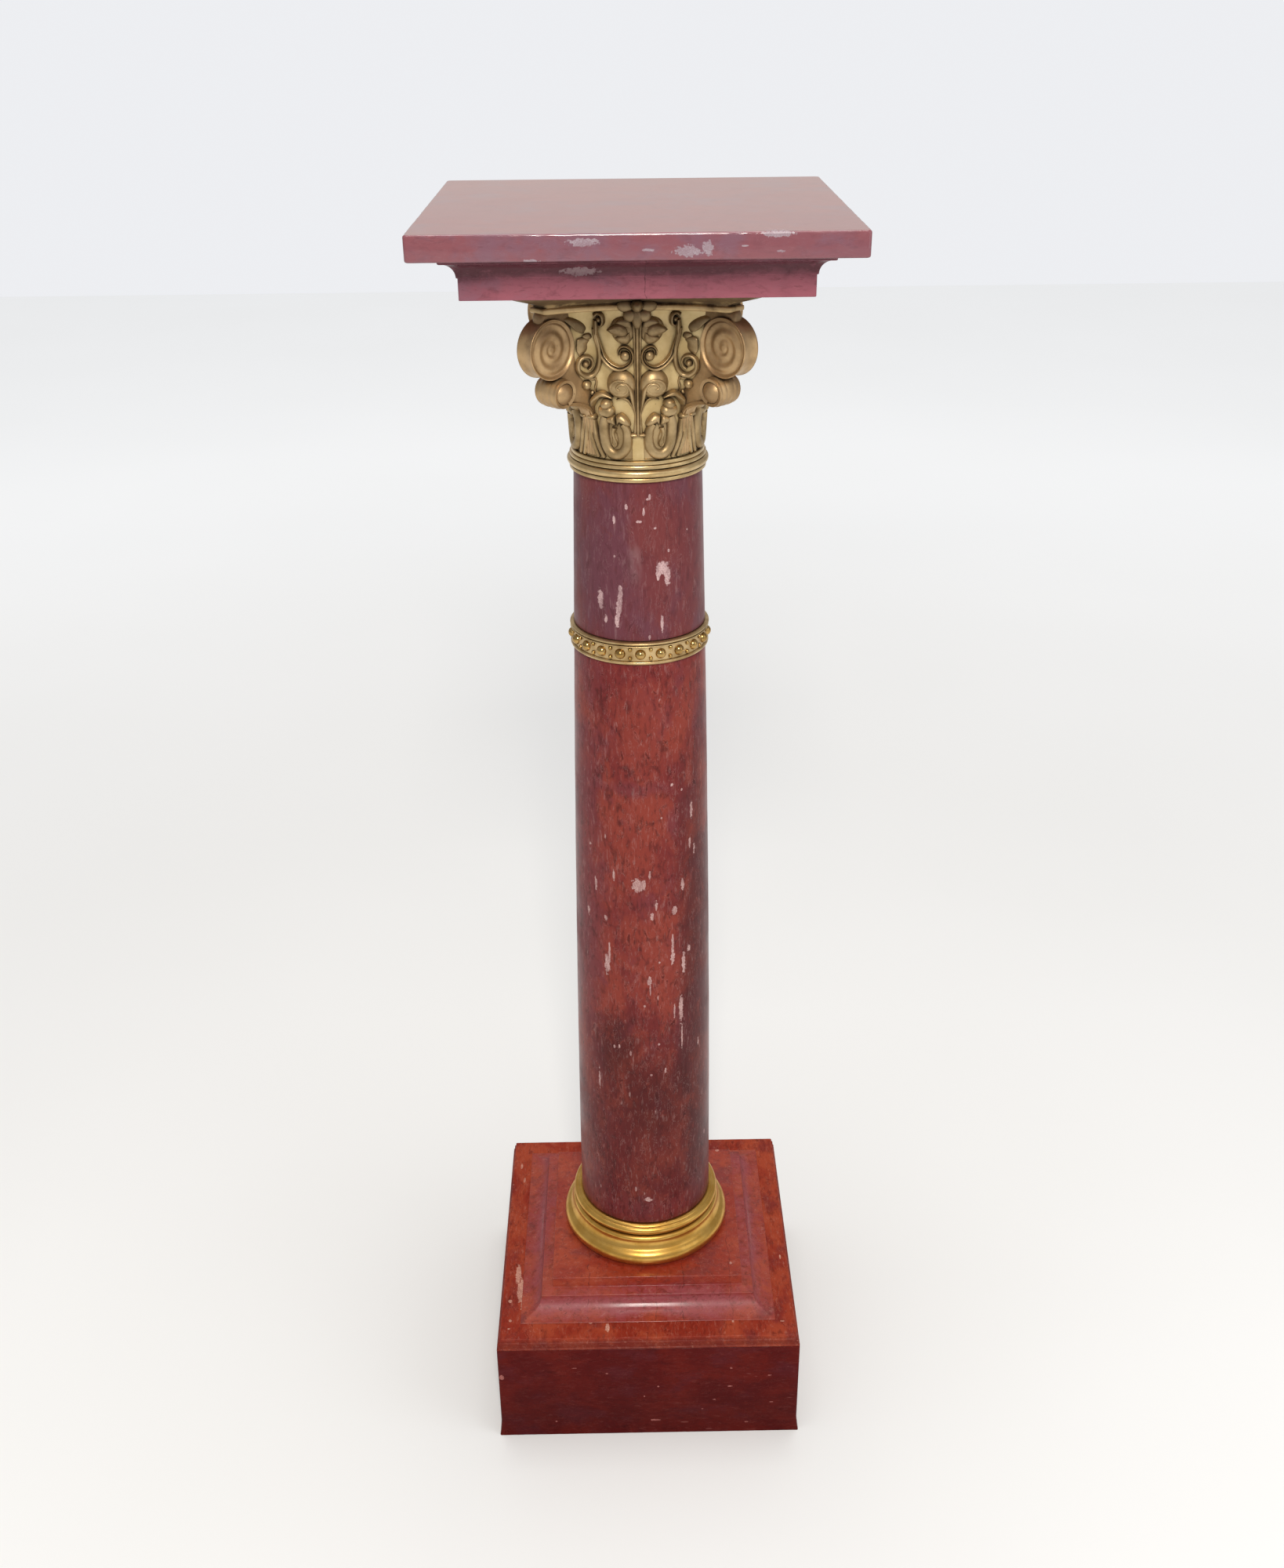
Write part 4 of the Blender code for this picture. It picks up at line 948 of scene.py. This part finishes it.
scroll = curve_through([
    (13.6, 0.712), (13.8, 0.738), (11.6, 0.762), (8.4, 0.764), (5.2, 0.744), (3.9, 0.705),
    (5.2, 0.664), (9.2, 0.634), (14.0, 0.622), (19.3, 0.634), (23.8, 0.664), (27.6, 0.710),
    (29.9, 0.764), (31.4, 0.823), (31.8, 0.880)], 90)
scroll_widths = np.interp(np.linspace(0.0, 1.0, 90), (0.0, 0.06, 0.30, 0.50, 0.62, 1.0),
                          (0.0010, 0.0015, 0.0013, 0.0016, 0.0024, 0.0020))
for form in (
    along_bell(scroll, DOUBLE_RIDGE, scroll_widths, 0.0034),
    set_on_bell(ball((0.0038, 0.0036, 0.0038), 12, 16), 9.4, 0.704),
):
    relief.add_sides(*form)

# Hook at the head of the scroll: a tongue, a small ball in a squared recess.
for form in (
    ridge([(31.6, 0.845), (31.0, 0.890), (30.6, 0.935)], (0.0016, 0.0022, 0.0018), 0.0048,
          count=16),
    ridge([(31.4, 0.960), (28.4, 0.978), (25.2, 0.962), (24.8, 0.920), (27.0, 0.896),
           (29.6, 0.902)], (0.0016, 0.0013, 0.0010), 0.0032, count=30),
    set_on_bell(ball((0.0022, 0.0034, 0.0022), 10, 14), 28.2, 0.936),
):
    relief.add_sides(*form)

tendril = curve_through([
    (31.6, 0.846), (30.6, 0.790), (30.1, 0.736), (30.4, 0.672), (32.3, 0.612), (35.4, 0.574),
    (38.3, 0.571), (40.0, 0.598), (40.4, 0.636), (39.7, 0.676), (37.9, 0.698), (35.7, 0.692),
    (34.7, 0.664), (35.3, 0.632), (36.9, 0.612)], 84)
tendril_widths = np.interp(np.linspace(0.0, 1.0, 84), (0.0, 0.25, 0.55, 0.80, 1.0),
                           (0.0018, 0.0022, 0.0020, 0.0014, 0.0009))
for form in (
    along_bell(tendril, ROUND_RIDGE, tendril_widths, 0.0036),
    set_on_bell(ball((0.0027, 0.0040, 0.0027), 10, 14), 37.6, 0.648),
    lobe([(36.8, 0.556), (34.2, 0.556), (33.2, 0.544), (35.0, 0.532), (37.4, 0.540)],
         [(35.8, 0.546), (35.0, 0.544)], 0.0030),
):
    relief.add_sides(*form)

# Leaves between the tendril and the volute.
for form in (
    lobe([(38.6, 0.700), (36.4, 0.740), (36.0, 0.776), (35.0, 0.800), (36.4, 0.822), (38.8, 0.818),
          (39.4, 0.780), (39.6, 0.740)], [(38.0, 0.730), (37.6, 0.800)], 0.0044),
    lobe([(35.0, 0.802), (33.6, 0.820), (34.4, 0.846), (36.6, 0.842), (37.2, 0.822)],
         [(35.0, 0.826), (35.8, 0.830)], 0.0034),
    lobe([(37.0, 0.846), (35.8, 0.880), (37.0, 0.916), (39.8, 0.950), (42.6, 0.965), (42.6, 0.940),
          (40.4, 0.905), (39.0, 0.868)], [(37.8, 0.876), (40.8, 0.938)], 0.0050),
):
    relief.add_sides(*form)

# Knobs: a large boss rolled like a snail, fed by a blade from the stalk.
KNOB_RADIUS = 0.0108
KNOB_HEIGHT = 0.0072
KNOB_PLACE = (13.2, 0.518)
DEGREE_ON_BELL = 0.00102
relief.add_sides(*set_on_bell(ball((KNOB_RADIUS, KNOB_HEIGHT, KNOB_RADIUS), 30, 40), *KNOB_PLACE))
roll = curve_through([(9.7, 0.547), (14.8, 0.548), (19.4, 0.524), (20.6, 0.487), (16.9, 0.458),
                      (10.9, 0.456), (7.4, 0.484), (9.0, 0.518), (13.0, 0.524), (15.4, 0.502),
                      (13.4, 0.486)], 70)
away = np.hypot((roll[:, 0] - KNOB_PLACE[0]) * DEGREE_ON_BELL,
                (roll[:, 1] - KNOB_PLACE[1]) * bell_height)
lift = KNOB_HEIGHT * np.sqrt(np.maximum(1.0 - (away / KNOB_RADIUS) ** 2, 0.0)) - 0.0004
path = np.array([on_bell(d, s, up) for (d, s), up in zip(roll, lift)])
out = np.array([on_bell(d, s, up + 0.006) for (d, s), up in zip(roll, lift)]) - path
out += (path - on_bell(*KNOB_PLACE)) * 0.5
out /= np.linalg.norm(out, axis=1, keepdims=True)
roll_widths = np.interp(np.arange(70), (0, 20, 50, 69), (0.0008, 0.0015, 0.0012, 0.0008))
for form in (
    swept(path, out, ROUND_RIDGE, roll_widths, 0.0013),
    ridge([(2.2, 0.318), (3.4, 0.380), (4.4, 0.437), (5.6, 0.494), (8.0, 0.530), (11.0, 0.538)],
          (0.0004, 0.0014, 0.0022, 0.0018, 0.0008), (0.0020, 0.0050, 0.0078, 0.0072), count=34),
    ridge([(3.0, 0.330), (5.0, 0.378), (8.2, 0.412), (12.4, 0.424), (17.4, 0.412)],
          (0.0004, 0.0012, 0.0013, 0.0005), 0.0022, count=30),
):
    relief.add_sides(*form)

# Balls below the tendril, and the folded tip of the side leaf: a boss under a curling blade.
for form in (
    set_on_bell(ball((0.0037, 0.0046, 0.0035), 12, 16), 39.4, 0.508, lift=0.0014),
    set_on_bell(ball((0.0020, 0.0028, 0.0020), 8, 12), 39.0, 0.447),
    ridge([(34.4, 0.560), (34.0, 0.520), (36.0, 0.470), (35.4, 0.440)], (0.0006, 0.0010, 0.0004),
          0.0018, count=24),
    lobe([(34.6, 0.322), (30.6, 0.288), (24.8, 0.278), (20.2, 0.300), (19.4, 0.344), (22.6, 0.372),
          (29.1, 0.376), (33.8, 0.358)], [(29.6, 0.322), (23.8, 0.322)], 0.0054),
    set_on_bell(ball((0.0046, 0.0050, 0.0040), 14, 18), 25.8, 0.382, lift=0.0026, tilt=-10.0),
    ridge([(42.4, 0.318), (40.6, 0.362), (36.6, 0.412), (31.0, 0.444), (25.6, 0.440),
           (20.6, 0.426)], (0.0008, 0.0022, 0.0030, 0.0022, 0.0008),
          (0.0036, 0.0062, 0.0054, 0.0040), count=36),
):
    relief.add_sides(*form)

# Painted shade: the relief and the leaves go brown towards the top, for the shade under the top
# moulding.
relief_gilt = gilding("relief_gilding", srgb(182, 156, 114), srgb(142, 118, 80), srgb(66, 50, 34),
                      roughness=0.42, reach=0.005, metallic=0.75, painted_shade_heights=(0.998, 1.030, 0.50))
relief_piece = relief.shape("capital_relief_bronze", relief_gilt, CAPITAL_CREASE)
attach(relief_piece, "root")
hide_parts("capital")


# Capital, its leaves. Upright leaves round the foot of the bell and ribs of the corner leaves, with
# a flower in the middle of each side of the abacus, cast and chased like the relief above them.

leaves = Casting()

# Upright leaf on each side of the stalk: its body, a fold bent in a U round a slot, its two lapping
# tops, and an egg in the slot.
for form in (
    lobe([(5.0, 0.006), (5.0, 0.100), (6.4, 0.190), (10.6, 0.270), (17.0, 0.306), (26.0, 0.306),
          (32.0, 0.290), (34.6, 0.220), (33.4, 0.120), (29.4, 0.040), (25.6, 0.006), (15.0, 0.004)],
         [(15.0, 0.080), (19.0, 0.140), (22.0, 0.220)], 0.0014, count=60),
    ridge([(27.2, 0.296), (29.0, 0.250), (29.4, 0.180), (28.2, 0.112), (25.0, 0.062), (19.6, 0.040),
           (13.6, 0.054), (9.8, 0.100), (9.0, 0.156), (10.0, 0.214), (12.8, 0.250)],
          (0.0040, 0.0046, 0.0046, 0.0044, 0.0042, 0.0040, 0.0036, 0.0026),
          (0.0052, 0.0048, 0.0044, 0.0042, 0.0042, 0.0044, 0.0050), count=80),
    lobe([(18.6, 0.306), (13.5, 0.326), (8.6, 0.296), (5.8, 0.250), (8.0, 0.232), (12.2, 0.240),
          (16.4, 0.258), (17.9, 0.236)], [(15.4, 0.290), (10.6, 0.274)], 0.0058),
    lobe([(27.0, 0.290), (22.6, 0.308), (19.0, 0.304), (18.4, 0.240), (22.1, 0.244), (26.0, 0.254)],
         [(23.6, 0.278), (20.4, 0.278)], 0.0056),
    lobe([(19.4, 0.084), (17.0, 0.098), (16.2, 0.130), (16.8, 0.168), (18.6, 0.196), (20.8, 0.198),
          (22.4, 0.172), (22.8, 0.132), (21.8, 0.098)], [(19.4, 0.108), (19.6, 0.182)], 0.0032),
    ridge([(19.6, 0.226), (20.6, 0.196), (19.6, 0.156), (18.0, 0.120), (19.6, 0.096),
           (21.6, 0.112)], (0.0022, 0.0017, 0.0012, 0.0010, 0.0006),
          (0.0050, 0.0050, 0.0044, 0.0036, 0.0028), count=36),
):
    leaves.add_sides(*form)

# Long ribs of the corner leaf, leaning out towards the curl, with a small lobe at their top.
for knots in ([(30.6, 0.008), (34.4, 0.076), (37.4, 0.160), (38.8, 0.262)],
              [(36.4, 0.008), (40.0, 0.086), (42.4, 0.160), (43.2, 0.250)]):
    leaves.add_sides(*ridge(knots, (0.0016, 0.0022, 0.0024, 0.0012),
                            (0.0022, 0.0034, 0.0042, 0.0030), count=30))
leaves.add_sides(*lobe([(45.6, 0.274), (41.6, 0.304), (37.0, 0.296), (36.4, 0.272), (40.6, 0.258)],
                       [(42.6, 0.282), (39.0, 0.282)], 0.0056))

# Flower in the middle of each side of the abacus: a round heart in petals, both made dark by the
# painted shade under the top moulding.
flower_seat = np.array((0.0, -ABACUS_SIDE_REACH - 0.0030, abacus_foot + 0.0040))
heart, heart_faces = ball((0.0042, 0.0052, 0.0044), 14, 18)
leaves.add_sides(heart + flower_seat, heart_faces, mirrored=False)
petal, petal_faces = ball((0.0064, 0.0028, 0.0044), 14, 18)
leaves.add_sides(petal + flower_seat + (0.0082, 0.0032, -0.0006), petal_faces)
back_petal, back_faces = ball((0.0050, 0.0034, 0.0048), 12, 16)
leaves.add_sides(back_petal + flower_seat + (0.0052, 0.0036, -0.0072), back_faces)
drop_petal, drop_faces = ball((0.0040, 0.0036, 0.0078), 14, 18)
leaves.add_sides(drop_petal + flower_seat + (0.0, 0.0036, -0.0092), drop_faces, mirrored=False)
leaves_piece = leaves.shape("capital_leaves_bronze", relief_gilt, CAPITAL_CREASE)
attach(leaves_piece, "root")
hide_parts("capital")


# Capital, its corners, of the same gilt bronze. At each a rolled volute hangs under the abacus,
# dished on both faces, and a ribbed leaf climbs the bell, bends out and curls over below it.

VOLUTE_RADIUS = 0.0212
VOLUTE_HALF = 0.0074
VOLUTE_REACH = 0.0920
VOLUTE_WINDINGS = 2.6
VOLUTE_DISH = 0.0018
VOLUTE_RIDGE = 0.0010
VOLUTE_SIDES = 96
WEB_HALF = 0.0050
WEB_STEPS = 60
LEAF_THICKNESS = 0.0016
CURL_RADIUS = 0.0116
CURL_HALF_WIDTH = 0.0120
CURL_REACH = 0.0840
volute_height = abacus_foot - VOLUTE_RADIUS - 0.0035
curl_height = volute_height - VOLUTE_RADIUS - CURL_RADIUS + 0.0010
corner_turn = np.array(((math.sqrt(0.5), -math.sqrt(0.5), 0.0),
                        (math.sqrt(0.5), math.sqrt(0.5), 0.0), (0.0, 0.0, 1.0)))


def in_corner(points, reach, height):
    """Form built with +X along the diagonal, put in the front right corner at a height."""
    return (points + (reach, 0.0, height)) @ corner_turn


def volute_face(radius_share, turn):
    """Depth of a volute's face below its rim: a dish, a winding ridge and a raised eye."""
    wind = (radius_share * VOLUTE_WINDINGS + turn / (2.0 * math.pi)) % 1.0
    crest = 0.5 - 0.5 * np.cos(2.0 * math.pi * wind)
    dish = VOLUTE_DISH * smooth(radius_share, 0.98, 0.86)
    inner = smooth(radius_share, 0.92, 0.80) * smooth(radius_share, 0.10, 0.30)
    eye = smooth(radius_share, 0.20, 0.06)
    return dish - VOLUTE_RIDGE * crest * inner - 0.0006 * eye


ring_shares = np.concatenate((np.linspace(0.03, 0.91, 45), (0.93, 0.95, 0.97, 0.985)))
turn = np.arange(VOLUTE_SIDES) * 2.0 * math.pi / VOLUTE_SIDES
shares, turns = np.meshgrid(ring_shares, turn, indexing="ij")
face_depth = volute_face(shares, turns)
near = np.stack((shares * VOLUTE_RADIUS * np.cos(turns), face_depth - VOLUTE_HALF,
                 shares * VOLUTE_RADIUS * np.sin(turns)), axis=-1)
far = near[::-1] * (1.0, -1.0, 1.0)
edge_steps = np.linspace(-1.0, 1.0, 13)
edge_radius = VOLUTE_RADIUS * (1.0 - 0.045 * (1.0 - edge_steps ** 2) * (edge_steps ** 2 < 0.92))
edge = np.stack([np.stack((r * np.cos(turn), np.full(VOLUTE_SIDES, y * VOLUTE_HALF * 0.96),
                           r * np.sin(turn)), axis=-1) for r, y in zip(edge_radius, edge_steps)])
volute = np.concatenate((near, edge, far))
volute_points, volute_faces = facing_out(volute.reshape(-1, 3), capped(len(volute), VOLUTE_SIDES))
corners = Casting()
corners.add_sides(in_corner(volute_points, VOLUTE_REACH, volute_height), volute_faces,
                  mirrored=False)


def web():
    """Bracket between the bell, the volute and the curl, rounded where it meets them."""
    rise = curl_height - CURL_RADIUS
    outline = curve_through([
        (0.036, abacus_foot + 0.002), (0.070, abacus_foot + 0.002),
        (VOLUTE_REACH + 0.006, abacus_foot + 0.002), (VOLUTE_REACH + 0.006, volute_height + 0.010),
        (VOLUTE_REACH - 0.004, volute_height - 0.010), (CURL_REACH, curl_height + 0.004),
        (CURL_REACH - 0.006, rise + 0.0030), (0.068, rise + 0.0006), (0.058, rise - 0.0040),
        (0.0525, rise - 0.0140), (0.044, rise - 0.0240), (0.036, rise - 0.0240)], WEB_STEPS)
    middle = outline.mean(axis=0)
    layers = []
    for across, inset in ((-1.0, 0.93), (-0.82, 0.98), (-0.5, 1.0), (0.5, 1.0), (0.82, 0.98),
                          (1.0, 0.93)):
        flat = middle + (outline - middle) * inset
        layers.append(np.stack((flat[:, 0], np.full(WEB_STEPS, across * WEB_HALF), flat[:, 1]),
                               axis=-1))
    return facing_out(np.concatenate(layers) @ corner_turn, capped(len(layers), WEB_STEPS))


corners.add_sides(*web(), mirrored=False)

curl_turns = np.radians(np.linspace(-118.0, 250.0, 40))
curl_shrink = np.linspace(1.0, 0.84, 40)
curl_radii = (CURL_RADIUS - LEAF_THICKNESS) * curl_shrink
curl_path = np.stack((CURL_REACH + curl_radii * np.cos(curl_turns),
                      curl_height + curl_radii * np.sin(curl_turns)), axis=-1)
leaf_rise = curl_height - CURL_RADIUS
leaf_spine = np.concatenate((
    curve_through([(0.0492, capital_foot + 0.002), (0.0500, capital_foot + 0.014),
                   (0.0520, leaf_rise - 0.012), (0.0560, leaf_rise - 0.0050),
                   (0.0650, leaf_rise - 0.0004), tuple(curl_path[0])], 36)[:-1],
    curl_path))
leaf_spine = np.stack((leaf_spine[:, 0], np.zeros(len(leaf_spine)), leaf_spine[:, 1]), axis=-1)
along = np.gradient(leaf_spine, axis=0)
leaf_out = np.stack((along[:, 2], np.zeros(len(along)), -along[:, 0]), axis=-1)
across_steps = np.linspace(-1.0, 1.0, 41)
rib_section = [(u, 0.66 + 0.34 * abs(math.cos(u * math.pi * 2.0)) - 0.55 * abs(u) ** 6)
               for u in across_steps]
rib_section += [(0.94, -0.9), (-0.94, -0.9)]
spread = np.linspace(0.0, 1.0, len(leaf_spine))
leaf_widths = np.interp(spread, (0.0, 0.25, 0.50, 0.75, 1.0),
                        (0.0052, 0.0060, 0.0098, CURL_HALF_WIDTH, 0.0110))
curl_points, curl_faces = swept(leaf_spine, leaf_out, rib_section, leaf_widths, LEAF_THICKNESS)
corners.add_sides(curl_points @ corner_turn, curl_faces, mirrored=False)
core, core_faces = ball((CURL_RADIUS * 0.965, CURL_HALF_WIDTH * 1.13, CURL_RADIUS * 0.965), 22, 36)
corners.add_sides(in_corner(core, CURL_REACH, curl_height), core_faces, mirrored=False)

# Painted shade: a long occlusion reach darkens the nooks by the volutes and curls, and the top goes
# brown, for the shade under the top moulding.
corner_gilt = gilding("corner_gilding", srgb(192, 160, 116), srgb(160, 130, 92), srgb(66, 50, 34),
                      roughness=0.42, reach=0.010, metallic=0.75, painted_shade_heights=(1.006, 1.036, 0.45))
corner_piece = corners.shape("capital_corner_bronze", corner_gilt, CAPITAL_CREASE)
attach(corner_piece, "root")
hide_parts("capital")


# Top moulding. A square course of mauve red marble under the slab: a plain fascia with a hollow
# cove above it, cracked through near the middle of the front.

FASCIA_HALF = 0.1194
FASCIA_HEIGHT = 0.0148
COVE_WIDTH = 0.0112
COVE_HEIGHT = 0.0096
moulding_low, moulding_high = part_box("top_moulding")
cove_half = FASCIA_HALF + COVE_WIDTH
fascia_top = moulding_low.z + FASCIA_HEIGHT
# Painted shade: the deep veil over the cove stands for the shade under the slab, and the pale tone
# is dimmed so that the spar patch in the cove reads as shaded.
moulding_marble = marble("moulding_marble",
                         ((138, 78, 89), (146, 83, 94), (128, 84, 96), (74, 36, 42),
                          (146, 124, 124)),
                         (0.3, 0.3, 1.0), [(-0.0378, fascia_top + 0.0035, 0.0120, 0.0032)],
                         (-0.124, 0.006), [(0.0, fascia_top + 0.0062, 0.300, 0.0062, 3, 0.85)],
                         ((0.0064, 0.0004),), freckles=0.5, lustre=0.20, fray=2.4, streaky=0.40)
moulding = square_course("top_moulding_marble", [
    (cove_half + 0.0006, moulding_high.z),
    (cove_half + 0.0006, fascia_top + COVE_HEIGHT + 0.0012),
    *arc((cove_half, fascia_top), (COVE_WIDTH - 0.0010, COVE_HEIGHT + 0.0006), 90.0, 180.0, 12),
    (FASCIA_HALF, fascia_top - 0.0002),
    (FASCIA_HALF, moulding_low.z),
], moulding_marble, ease=0.0006, wear=0.00010)
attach(moulding, "root")
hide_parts("top_moulding")


# Top slab. A square slab of mauve red marble, polished like a mirror on top, with grey and white
# patches of spar showing in its front edge.

slab_low, slab_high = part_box("top_slab")
slab_spots = [
    (-0.0347, 1.0945, 0.0090, 0.0024), (0.0320, 1.0885, 0.0080, 0.0034),
    (0.0450, 1.0900, 0.0040, 0.0040), (0.0892, 1.0985, 0.0100, 0.0018),
    (0.0067, 1.0895, 0.0040, 0.0008), (0.0690, 1.0915, 0.0020, 0.0005),
    (0.0916, 1.0880, 0.0025, 0.0008), (-0.0690, 1.0835, 0.0050, 0.0010),
]
slab_marble = marble("slab_marble", ((124, 74, 82), (128, 74, 80), (118, 82, 94), (96, 56, 64),
                                     (160, 146, 152)),
                     (0.3, 0.3, 1.0), slab_spots, (-0.150, 0.01), freckles=0.3, roughness=0.10,
                     lustre=0.55, fray=2.6, uneven=0.2, streaky=0.35)
slab = square_course("top_slab_marble", [
    (slab_high.x, slab_high.z),
    (slab_high.x, slab_low.z),
], slab_marble, ease=0.0016)
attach(slab, "root")
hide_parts("top_slab")


# Floor, light and camera: a plain pale floor that runs into a pale surround; a key light in front,
# a fill at the right, one overhead, a warm card behind; and the photograph's point of view.

FLOOR_HALF = 6.0
FLOOR_FADE = (0.3, 3.6)
FLOOR_GLOW = (0.44, 0.445, 0.45, 1.0)
SURROUND_COLOUR = (0.96, 0.97, 1.0, 1.0)
SURROUND_LIGHT = 0.42
SURROUND_SEEN = 0.885
floor_finish = Finish("pale_floor", 0.8)
floor_tone = floor_finish.noise(floor_finish.place, 1.5, detail=2.0)
floor_away = floor_finish.node("VectorMath", {"operation": "LENGTH"}, {0: floor_finish.place},
                               output=1)
floor_far = floor_finish.between(floor_away, *FLOOR_FADE)
floor_finish.set(
    Base_Color=floor_finish.mix(floor_tone, srgb(238, 238, 236), srgb(244, 244, 243)),
    Emission_Color=floor_finish.mix(floor_far, (0.0, 0.0, 0.0, 1.0), FLOOR_GLOW),
)
floor_finish.shader.inputs["Emission Strength"].default_value = 1.0
floor_corners = np.array([(-1, -1, 0), (1, -1, 0), (1, 1, 0), (-1, 1, 0)]) * FLOOR_HALF
floor = shape("floor", floor_corners, [(0, 1, 2, 3)], floor_finish)

world = bpy.data.worlds.new("pale_surround")
world.use_nodes = True
surround = world.node_tree.nodes["Background"]
surround.inputs["Color"].default_value = SURROUND_COLOUR
seen = world.node_tree.nodes.new("ShaderNodeLightPath")
strength = world.node_tree.nodes.new("ShaderNodeMapRange")
strength.inputs["To Min"].default_value = SURROUND_LIGHT
strength.inputs["To Max"].default_value = SURROUND_SEEN
world.node_tree.links.new(seen.outputs["Is Camera Ray"], strength.inputs["Value"])
world.node_tree.links.new(strength.outputs[0], surround.inputs["Strength"])
bpy.context.scene.world = world


def soft_light(name, place, target, size, power, colour):
    light = bpy.data.lights.new(name, "AREA")
    light.shape = "RECTANGLE"
    light.size, light.size_y = size
    light.energy = power
    light.color = colour
    made = bpy.data.objects.new(name, light)
    made.location = place
    made.rotation_euler = (Vector(target) - Vector(place)).to_track_quat("-Z", "Y").to_euler()
    made.visible_camera = False
    bpy.context.scene.collection.objects.link(made)


soft_light("key", (0.02, -2.0, 2.35), (0.0, 0.0, 0.8), (0.35, 0.7), 44.0, (1.0, 0.95, 0.88))
soft_light("fill", (1.7, -0.9, 1.5), (0.0, 0.0, 0.6), (1.2, 1.6), 6.0, (0.92, 0.95, 1.0))
soft_light("overhead", (0.0, 0.2, 2.9), (0.0, 0.0, 0.2), (1.4, 1.4), 30.0, (1.0, 0.98, 0.95))
soft_light("card", (0.0, 2.4, 1.45), (0.0, 0.0, 1.10), (2.6, 0.7), 1.8, (1.0, 0.82, 0.62))

CAMERA_PLACE = (-0.0107, -1.1985, 1.2469)
CAMERA_PITCH = math.radians(27.31)
CAMERA_TURN = 0.0095
CAMERA_ROLL = -0.0102
CAMERA_LENS = 36.06
ahead = Vector((math.sin(CAMERA_TURN) * math.cos(CAMERA_PITCH),
                math.cos(CAMERA_TURN) * math.cos(CAMERA_PITCH), -math.sin(CAMERA_PITCH)))
level = Vector((math.cos(CAMERA_TURN), -math.sin(CAMERA_TURN), 0.0))
upright = level.cross(ahead)
right = level * math.cos(CAMERA_ROLL) + upright * math.sin(CAMERA_ROLL)
above = upright * math.cos(CAMERA_ROLL) - level * math.sin(CAMERA_ROLL)
camera_data = bpy.data.cameras.new("camera")
camera_data.lens = CAMERA_LENS
camera_data.sensor_width = 36.0
camera = bpy.data.objects.new("camera", camera_data)
camera.matrix_world = Matrix.Translation(CAMERA_PLACE) @ Matrix((right, above,
                                                                 -ahead)).transposed().to_4x4()
bpy.context.scene.collection.objects.link(camera)
bpy.context.scene.camera = camera
bpy.context.scene.view_settings.view_transform = "Standard"
